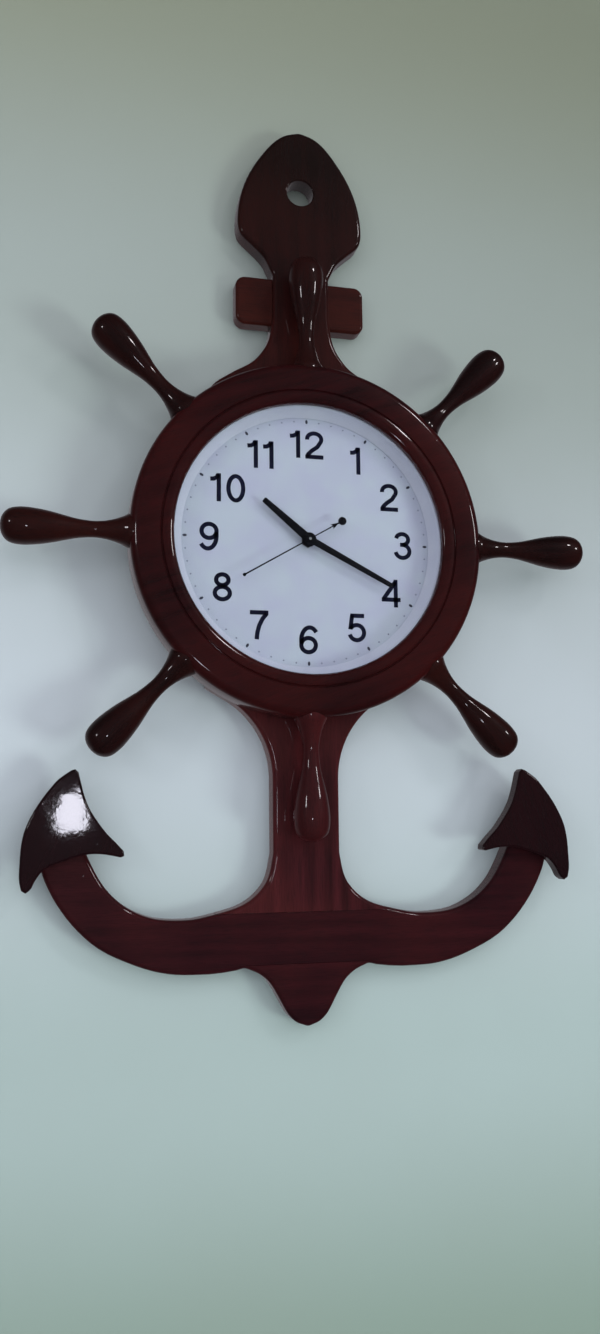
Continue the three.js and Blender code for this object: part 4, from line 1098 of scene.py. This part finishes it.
def minute_dot(minute):
    turn = math.tau * minute / 60
    outward = Vector((math.sin(turn), 0, math.cos(turn)))
    place = centre + outward * minute_radius
    place.y = dial_front - skin / 2
    deselect()
    bpy.ops.mesh.primitive_circle_add(
        vertices=14, radius=dot_radius if minute % 5 else bold_radius, fill_type="NGON",
        location=place, rotation=(math.pi / 2, 0, 0))
    dot = apply_place()
    if minute % 5 == 0:
        for corner in dot.data.vertices:
            corner.co += outward * (corner.co - place).dot(outward) * (bold_stretch - 1)
    return dot


for name, minutes, ink in (
    ("minute_dots", [minute for minute in range(60) if minute % 5], minute_ink),
    ("five_minute_dots", range(0, 60, 5), bold_ink),
):
    dots = joined(name, [minute_dot(minute) for minute in minutes])
    apply_modifier(dots, "SOLIDIFY", thickness=print_thick, offset=0)
    hand_over(dots, ink)

# %% [markdown]
# The hands are stamped from thin sheet and painted. Each is drawn upright as one outline, from the
# hub to the tip, pulled to its thickness, eased, and then turned to its place on the dial. A small
# bright pin closes the centre of the second hand.

# %% Stamp the hands
def hand_from(kind, half_outline, degrees, edge):
    low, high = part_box(f"{kind}_hand")
    mirrored = [(-x, z) for x, z in reversed(half_outline) if x > 0]
    outline = [(x, dial_z + z) for x, z in half_outline + mirrored]
    hand = pulled(f"{kind}_hand_finish", outline, high.y, low.y)
    ease_edges(hand, lambda item: all(corner.co.y < low.y + skin for corner in item.verts), edge, 2)
    hand.data.transform(about_dial(math.radians(degrees)))
    smooth(hand, 30)
    hand_over(hand, hand_black, f"{kind}_hand", f"{kind}_train")


def hub_arc(radius, start, end, place=0.0, steps=14):
    turns = [math.radians(start + (end - start) * step / steps) for step in range(steps + 1)]
    return [(radius * math.sin(turn), place + radius * math.cos(turn)) for turn in turns]


def blade(length, half, tip_share, hub):
    """Right half of a tapered hand with a round hub, from its tip down to its tail."""
    start = math.degrees(math.asin(half / hub))
    tip = half * tip_share
    point = [(0, length), (tip * 0.7, length), (tip, length - tip * 0.3), (half, hub)]
    return point + hub_arc(hub, start, 180)


stamped_edge, wire_edge = 0.12 * mm, 0.08 * mm
hour_blade = blade(length=53 * mm, half=3.8 * mm, tip_share=0.66, hub=6.4 * mm)
minute_blade = blade(length=85 * mm, half=3.0 * mm, tip_share=0.72, hub=5.4 * mm)
wire, tail, ball, tip_dot = 0.5 * mm, -34 * mm, 3.7 * mm, 1.5 * mm
second_hub, second_tip = 2.4 * mm, 68 * mm
arrow_base, arrow_half, arrow_length = -24 * mm, 2.3 * mm, 5 * mm
second_outline = (
    hub_arc(tip_dot, 0, 155, second_tip, 8) + hub_arc(second_hub, 12, 168)
    + [(wire, arrow_base), (arrow_half, arrow_base + mm), (1.2 * wire, arrow_base - arrow_length)]
    + hub_arc(ball, 12, 180, tail, 16)
)
hand_from("hour", hour_blade, 309.8, stamped_edge)
hand_from("minute", minute_blade, 117.5, stamped_edge)
hand_from("second", second_outline, 239.5, wire_edge)

second_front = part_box("second_hand")[0].y
pin_radius, pin_rise = 1.2 * mm, 0.5 * mm
pin = turned("second_hand_pin", [
    (0, second_front - pin_rise), (pin_radius * 0.5, second_front - pin_rise * 0.9),
    (pin_radius * 0.85, second_front - pin_rise * 0.5), (pin_radius, second_front - skin / 2),
    (0, second_front - skin / 2)], 24)
smooth(pin, 50)
hand_over(pin, zinc, body="second_train")

# %% [markdown]
# The back is open behind the dial, so the hardboard, the clips, the screws and the movement all
# show. The hardboard is a disc like the dial. The other solids have the right shape already: a
# copy of each is cleaned and gets small rounded edges, which catch the light as moulded and
# stamped edges do.

# %% Refine the pieces behind the dial
def refined(name, node, edge):
    piece = bpy.data.objects.new(name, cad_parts[node].data.copy())
    bpy.context.collection.objects.link(piece)
    tidy_mesh(piece, 0.005 * mm)
    start_edit(piece, "EDGE")
    bpy.ops.mesh.dissolve_limited(angle_limit=math.radians(1))
    end_edit()
    apply_modifier(piece, "BEVEL", width=edge, segments=2, limit_method="ANGLE",
                   angle_limit=math.radians(28), use_clamp_overlap=True)
    smooth(piece, 32)
    return piece


backing = disc("backing_finish", "dial_backing", stem_hole, arris, 0)
hand_over(backing, hardboard, "dial_backing")
for name, node, material, slot, edge, body in (
    ("front_case", "movement_front_case", case_black, "case_plastic", 0.3 * mm, "clock_body"),
    ("rear_case", "movement_rear_case", case_black, "case_plastic", 0.35 * mm, "clock_body"),
    ("set_knob", "set_knob", case_black, "case_plastic", 0.2 * mm, "knob_train"),
    ("stem_nut", "stem_nut", black_brass, "brass", 0.2 * mm, "clock_body"),
    ("stem_washer", "stem_washer", rubber, "rubber", 0.15 * mm, "clock_body"),
    ("contact_plus", "contact_plus", zinc, "steel", 0.08 * mm, "clock_body"),
    ("left_dowel", "shank_dowel_left", dowel_wood, "plain_wood", 0.4 * mm, "clock_body"),
    ("right_dowel", "shank_dowel_right", dowel_wood, "plain_wood", 0.4 * mm, "clock_body"),
):
    hand_over(refined(f"{name}_finish", node, edge), material, node, body)
for number in range(1, 5):
    clip = refined(f"dial_clip_finish_{number}", f"dial_clip_{number}", 0.2 * mm)
    hand_over(clip, zinc, f"dial_clip_{number}")

# %% [markdown]
# All twelve screws are of one kind in three lengths: a countersunk head with a cross recess, and
# a shank with a thread that ends in a point. One of each length is made and copied to its holes.

# %% Make the screws
thread_core, thread_pitch = 0.72 * shank_radius, 1.6 * mm
head_rim, smooth_neck = 0.15 * mm, 4 * mm
recess_long, recess_wide, recess_deep = 2.3 * mm, 0.75 * mm, 1.5 * mm
recess_taper = 0.35


def recess_cutter(place, head_y, across, along):
    """One bar of the cross recess, narrower at its bottom."""
    middle, half = Vector((place.x, head_y, place.z)), Vector((across, recess_deep, along))
    bar = plain_box(middle - half, middle + half)
    start_edit(bar)
    pick(bar, "FACE", lambda face: face.normal.y < -0.5)
    bottom = (place.x, head_y - recess_deep, place.z)
    bpy.ops.transform.resize(value=(recess_taper, 1, recess_taper), center_override=bottom)
    end_edit()
    return bar


def screw(name, place, head_y, tip_y):
    neck_y = head_y - head_depth
    threaded = head_y - tip_y - head_depth - smooth_neck
    turns = max(2, int(threaded / thread_pitch))
    pitch = threaded / turns
    profile = [(0, head_y), (head_radius - head_rim, head_y), (head_radius, head_y - head_rim),
               (shank_radius, neck_y)]
    for turn in range(turns):
        ridge = neck_y - pitch * (turn + 0.6)
        profile += [(thread_core, ridge + 0.45 * pitch), (shank_radius, ridge),
                    (thread_core, ridge - 0.2 * pitch)]
    piece = turned_at(name, place, profile + [(0, tip_y)], 28)
    drill(piece, [recess_cutter(place, head_y, recess_long, recess_wide),
                  recess_cutter(place, head_y, recess_wide, recess_long)])
    smooth(piece, 30)
    return piece


for kind in ("rim_screw", "fluke_screw", "clip_screw"):
    places = screw_places(kind)
    low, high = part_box(f"{kind}_1")
    first = screw(f"{kind}_finish_1", places[0], high.y, low.y)
    hand_over(first, zinc, f"{kind}_1")
    for number, place in enumerate(places[1:], 2):
        piece = own_copy(first, f"{kind}_finish_{number}", Matrix.Translation(place - places[0]))
        hand_over(piece, zinc, f"{kind}_{number}")

# %% [markdown]
# The battery is a steel can in a plain printed sleeve, turned round its own level axis. Its line
# is measured from the minus end, because the cell may lie either way round.

# %% Battery
cell_low, cell_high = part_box("battery")
cell_y, cell_z = (cell_low.y + cell_high.y) / 2, (cell_low.z + cell_high.z) / 2
cell_radius, cell_length = (cell_high.z - cell_low.z) / 2, cell_high.x - cell_low.x
plus_side = 1 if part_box("contact_plus")[0].x > 0 else -1
minus_x = cell_low.x if plus_side > 0 else cell_high.x
nub_radius, nub_edge, cell_round = 2.7 * mm, 0.25 * mm, 0.6 * mm
shoulder, end_radius = cell_length - 1.3 * mm, cell_radius - 1.4 * mm
band_x, band_blur = 12 * mm, 0.1 * mm
cell_line = [
    (0, 0), (0, end_radius), (0.5 * mm, cell_radius - 0.8 * mm), (0.3 * mm, cell_radius - cell_round),
    (cell_round, cell_radius), (shoulder - cell_round, cell_radius), (shoulder, cell_radius - cell_round),
    (shoulder - 0.3 * mm, end_radius), (shoulder - 0.3 * mm, nub_radius),
    (cell_length - nub_edge, nub_radius), (cell_length, nub_radius - nub_edge), (cell_length, 0),
]
cell = spun(
    "battery_finish", [(minus_x + plus_side * along, cell_y, cell_z + radius) for along, radius in cell_line],
    64, axis=(1, 0, 0), middle=(0, cell_y, cell_z), closed=False)
smooth(cell, 30)


def battery_skin():
    material, tree = new_material("Battery sleeve")
    place = place_on(tree)
    marks = group_node(tree, handling, Place=place)
    along = add(tree, "ShaderNodeSeparateXYZ", Vector=place).outputs["X"]
    band = spread(tree, along, 0, 1, band_x - band_blur, band_x + band_blur)
    sleeve = blend_colours(tree, band, (44, 56, 88), (150, 150, 152))
    rubbed = blend_colours(tree, spread(tree, marks["Broad"], 0, 0.25), sleeve, (34, 42, 66))
    shade(tree, Base_Color=rubbed, Roughness=spread(tree, marks["Fine"], 0.24, 0.38), Metallic=0.25,
          Coat_Weight=0.6)
    return material


hand_over(cell, battery_skin(), "battery")

# %% [markdown]
# The minus end presses on a coiled spring, wound here as a helix that narrows towards the cell. A
# curve with a round bevel gives the wire. It is made a mesh and joined to the leaf that holds it.

# %% Spring contact
leaf_low, leaf_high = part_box("contact_minus")
outer_x, inner_x = (leaf_low.x, leaf_high.x) if plus_side > 0 else (leaf_high.x, leaf_low.x)
leaf_thick, spring_wire = 0.5 * mm, 0.3 * mm
spring_turns, points_per_turn = 4, 16
widest_coil, narrowing = 3.0 * mm, 1.1 * mm


def spring_path():
    from_x, to_x = outer_x + plus_side * (leaf_thick + spring_wire), inner_x - plus_side * spring_wire
    for step in range(spring_turns * points_per_turn + 1):
        share = step / (spring_turns * points_per_turn)
        turn = math.tau * spring_turns * share
        radius = widest_coil - narrowing * share
        yield (from_x + (to_x - from_x) * share, cell_y + radius * math.cos(turn),
               cell_z + radius * math.sin(turn), 1)


curve = bpy.data.curves.new("contact_spring", "CURVE")
curve.dimensions = "3D"
curve.bevel_depth = spring_wire
curve.bevel_resolution = 2
curve.use_fill_caps = True
spline = curve.splines.new("POLY")
spline.points.add(spring_turns * points_per_turn)
for point, place in zip(spline.points, spring_path()):
    point.co = place
spring = bpy.data.objects.new("contact_spring", curve)
bpy.context.collection.objects.link(spring)
choose(spring)
bpy.ops.object.convert(target="MESH")
spring = bpy.context.object
smooth(spring, 60)

leaf_near, leaf_far = sorted((outer_x, outer_x + plus_side * leaf_thick))
leaf = plain_box((leaf_near, leaf_low.y, leaf_low.z), (leaf_far, leaf_high.y, leaf_high.z))
apply_modifier(leaf, "BEVEL", width=0.12 * mm, segments=2)
minus_contact = joined("contact_minus_finish", [spring, leaf])
hand_over(minus_contact, zinc, "contact_minus")

# %% [markdown]
# What is sealed inside the case keeps the frame's own solids: wheels, rotor, coil and circuit.
# Each only needs its finish.

# %% Finish the pieces inside the case
inside = {"stator": zinc, "coil": copper, "circuit_board": board_green, "cannon_pinion": brass}
inside.update(dict.fromkeys(("rotor", "intermediate_wheel", "second_wheel", "third_wheel", "centre_wheel",
                             "motion_wheel", "hour_wheel"), gear_white))
for node, material in inside.items():
    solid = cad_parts[node]
    solid.data.materials.clear()
    solid.data.materials.append(material)
left_over = [name for name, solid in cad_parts.items() if not solid.hide_render and name not in inside]
print("nodes still to be finished:", left_over)

# %% [markdown]
# The clock hangs on a pale wall over a pale floor. The wall would hide the clock from behind, so
# its back side is clear, and it lets all light through except for what the eye sees. It still
# shows the clock's shadow, because the shadow is worked out where the eye meets the wall. The
# floor isn't mirrored in the lacquer, which would look grey and hazy, and it lets the light of
# the low window pass.

# %% Wall and floor
stain_scale, stain_share, stain_tone = 0.12, 0.1, (150, 160, 150)
# Painted shade: the paint dims towards the upper right corner, where less light falls.
painted_corner_shade_slope, painted_corner_shade_share, painted_corner_shade_from, painted_corner_shade_to, painted_corner_shade_tone = 0.6, 0.62, -0.5, 0.42, (100, 110, 96)


def wall_paint(name, tones, seen_from_front_only=False):
    """Matt paint whose tone goes with height and dims towards one corner: painted light and shade, as the
    room's light falls.
    """
    material, tree = new_material(name)
    place = place_on(tree)
    at = add(tree, "ShaderNodeSeparateXYZ", Vector=place).outputs
    heights = [height for height, colour in tones]
    lowest, highest = heights[0], heights[-1]
    ramp = add(tree, "ShaderNodeValToRGB", Fac=spread(tree, at["Z"], 0, 1, lowest, highest))
    ramp.color_ramp.interpolation = "EASE"
    stops = ramp.color_ramp.elements
    while len(stops) < len(tones):
        stops.new(0.5)
    for stop, height in zip(stops, heights):
        stop.position = (height - lowest) / (highest - lowest)
    for stop, (height, colour) in zip(stops, tones):
        stop.color = tone(*colour)
    drawn_out = add(tree, "ShaderNodeMapping", Vector=place, Scale=[stain_scale] * 3).outputs["Vector"]
    stain = spread(tree, group_node(tree, handling, Place=drawn_out)["Broad"], 0, stain_share)
    stain_and_painted_light = blend_colours(tree, stain, ramp.outputs["Color"], stain_tone)
    # Painted shade: the paint darkens towards the upper right.
    slant = maths(tree, "MULTIPLY_ADD", at["X"], painted_corner_shade_slope, at["Z"])
    with_painted_corner_shade = blend_colours(tree, spread(tree, slant, 0, painted_corner_shade_share, painted_corner_shade_from, painted_corner_shade_to), stain_and_painted_light, painted_corner_shade_tone)
    shader = shade(tree, Base_Color=with_painted_corner_shade, Roughness=0.8, Specular_IOR_Level=0.2)
    if seen_from_front_only:
        eye_ray = add(tree, "ShaderNodeLightPath").outputs["Is Camera Ray"]
        back = add(tree, "ShaderNodeNewGeometry").outputs["Backfacing"]
        seen = maths(tree, "GREATER_THAN", eye_ray, back)
        show_either(tree, seen, add(tree, "ShaderNodeBsdfTransparent"), shader)
    return material


def big_plane(name, place, turn, paint):
    deselect()
    bpy.ops.mesh.primitive_plane_add(size=24, location=place, rotation=turn)
    plane = apply_place()
    plane.name = name
    plane.data.materials.append(paint)
    return plane


wall_gap, floor_z = 1 * mm, -2.0
# The wall's tones by height hold painted light: brightest a little below the clock, darker towards the top
# and the bottom.
wall_tones_with_painted_light = [(-1.08, (139, 163, 149)), (-0.8, (173, 195, 192)), (-0.5, (199, 213, 219)),
              (-0.12, (173, 188, 185)), (0.24, (155, 164, 143))]
floor_tones = [(floor_z - 0.1, (205, 208, 205)), (floor_z + 0.1, (198, 202, 200))]
wall_matt = wall_paint("Wall paint", wall_tones_with_painted_light, seen_from_front_only=True)
floor_matt = wall_paint("Floor paint", floor_tones)
wall = big_plane("wall", (0, wall_gap, dial_z), (math.pi / 2, 0, 0), wall_matt)
floor = big_plane("floor", (0, 0, floor_z), (0, 0, 0), floor_matt)
floor.visible_glossy = False
floor.visible_shadow = False
print("wall faces the front:", [round(part, 2) for part in wall.data.polygons[0].normal])

# %% [markdown]
# The room is dim in front of the clock and pale behind it, and polished lacquer shows that: it
# stays dark, with small bright sparks. So the world gives a soft fill to dull surfaces, and to
# mirror-like ones a view of the dim room and the pale wall. The eye sees a plain pale grey.

# %% World
world = bpy.data.worlds.new("Room")
bpy.context.scene.world = world
world.use_nodes = True
air = world.node_tree
way = add(air, "ShaderNodeTexCoord").outputs["Generated"]
backwards = add(air, "ShaderNodeSeparateXYZ", Vector=way).outputs["Y"]
ray = add(air, "ShaderNodeLightPath").outputs
plain_grey = 0.75
from_front = spread(air, backwards, 1.2, 0.4, -1.0, 0.1)
from_behind = spread(air, backwards, 0.0, 0.9, 0.3, 0.9)
mirrored_room = spread(air, backwards, 0.01, 0.22, 0.2, 1.0)
seen_plain = maths(air, "MAXIMUM", ray["Is Camera Ray"], ray["Is Transmission Ray"])
fill_light = maths(air, "ADD", from_front, from_behind)
to_eye = add(air, "ShaderNodeMix", Factor=seen_plain, A=fill_light, B=plain_grey)
to_gloss = add(air, "ShaderNodeMix", Factor=ray["Is Glossy Ray"], A=to_eye.outputs["Result"], B=mirrored_room)
feed(air, air.nodes["Background"], Color=(0.97, 0.93, 1.0, 1), Strength=to_gloss.outputs["Result"])
print("world nodes:", len(air.nodes))

# %% [markdown]
# One large soft window stands low at the far right, below the floor's level, so the shadows fall
# level to the left and stay faint. The lacquer doesn't mirror it. Its sparks come from small
# windows: one close to the eye, which makes the bright patch on the left fluke, and three farther
# off for the rim and the handles.

# %% Lamps
def window(name, place, size, power, colour, target=centre, mirrored=True):
    lamp = bpy.data.lights.new(name, "AREA")
    lamp.shape = "RECTANGLE"
    lamp.size, lamp.size_y = size
    lamp.energy = power
    lamp.color = colour
    shade_of_lamp = bpy.data.objects.new(name, lamp)
    bpy.context.collection.objects.link(shade_of_lamp)
    shade_of_lamp.location = place
    shade_of_lamp.rotation_euler = (Vector(target) - Vector(place)).to_track_quat("-Z", "Y").to_euler()
    shade_of_lamp.visible_glossy = mirrored
    shade_of_lamp.visible_camera = False
    print(name, "at", place, "gives watts:", power)


left_fluke_face = (-0.2, -0.031, -0.58)
window("soft_window", (7.0, -5.35, -3.25), (2.1, 2.1), 250, (0.94, 1.0, 0.93), mirrored=False)
window("near_window", (-0.165, -0.948, -0.579), (0.046, 0.06), 0.2, (0.88, 0.88, 1.0), left_fluke_face)
window("right_spark", (2.2, -1.8, 0.5), (0.25, 0.35), 5, (1.0, 0.95, 0.97))
window("left_spark", (-1.9, -1.5, 0.15), (0.2, 0.3), 2.6, (1.0, 0.96, 1.0))
window("upper_spark", (1.3, -1.7, 1.1), (0.22, 0.22), 4, (1.0, 0.92, 0.95))

# %% [markdown]
# The camera stands close in front, a little low and to the left, and looks up to the right. Its
# place and turn were worked out from the shape that round and level parts take in the picture.

# %% Camera
picture_width, picture_height = 600, 1334
focal_pixels = 1100
sensor = 36
eye = bpy.data.cameras.new("eye")
eye.sensor_fit = "AUTO"
eye.sensor_width = sensor
eye.lens = focal_pixels / max(picture_width, picture_height) * sensor
camera = bpy.data.objects.new("eye", eye)
bpy.context.collection.objects.link(camera)
camera.location = (-0.2354, -0.9479, -0.5854)
camera.rotation_euler = (math.radians(97.531), math.radians(0.57), math.radians(-13.848))
bpy.context.scene.camera = camera
print("lens in mm:", round(eye.lens, 2))

# %% [markdown]
# Colours are shown as they are written. At the end, the number of faces of all shown pieces is
# printed.

# %% Colour management and face count
bpy.context.scene.view_settings.view_transform = "Standard"
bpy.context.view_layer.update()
shown = [piece for piece in bpy.data.objects if piece.type == "MESH" and not piece.hide_render]
print("faces in all:", sum(len(piece.data.polygons) for piece in shown))
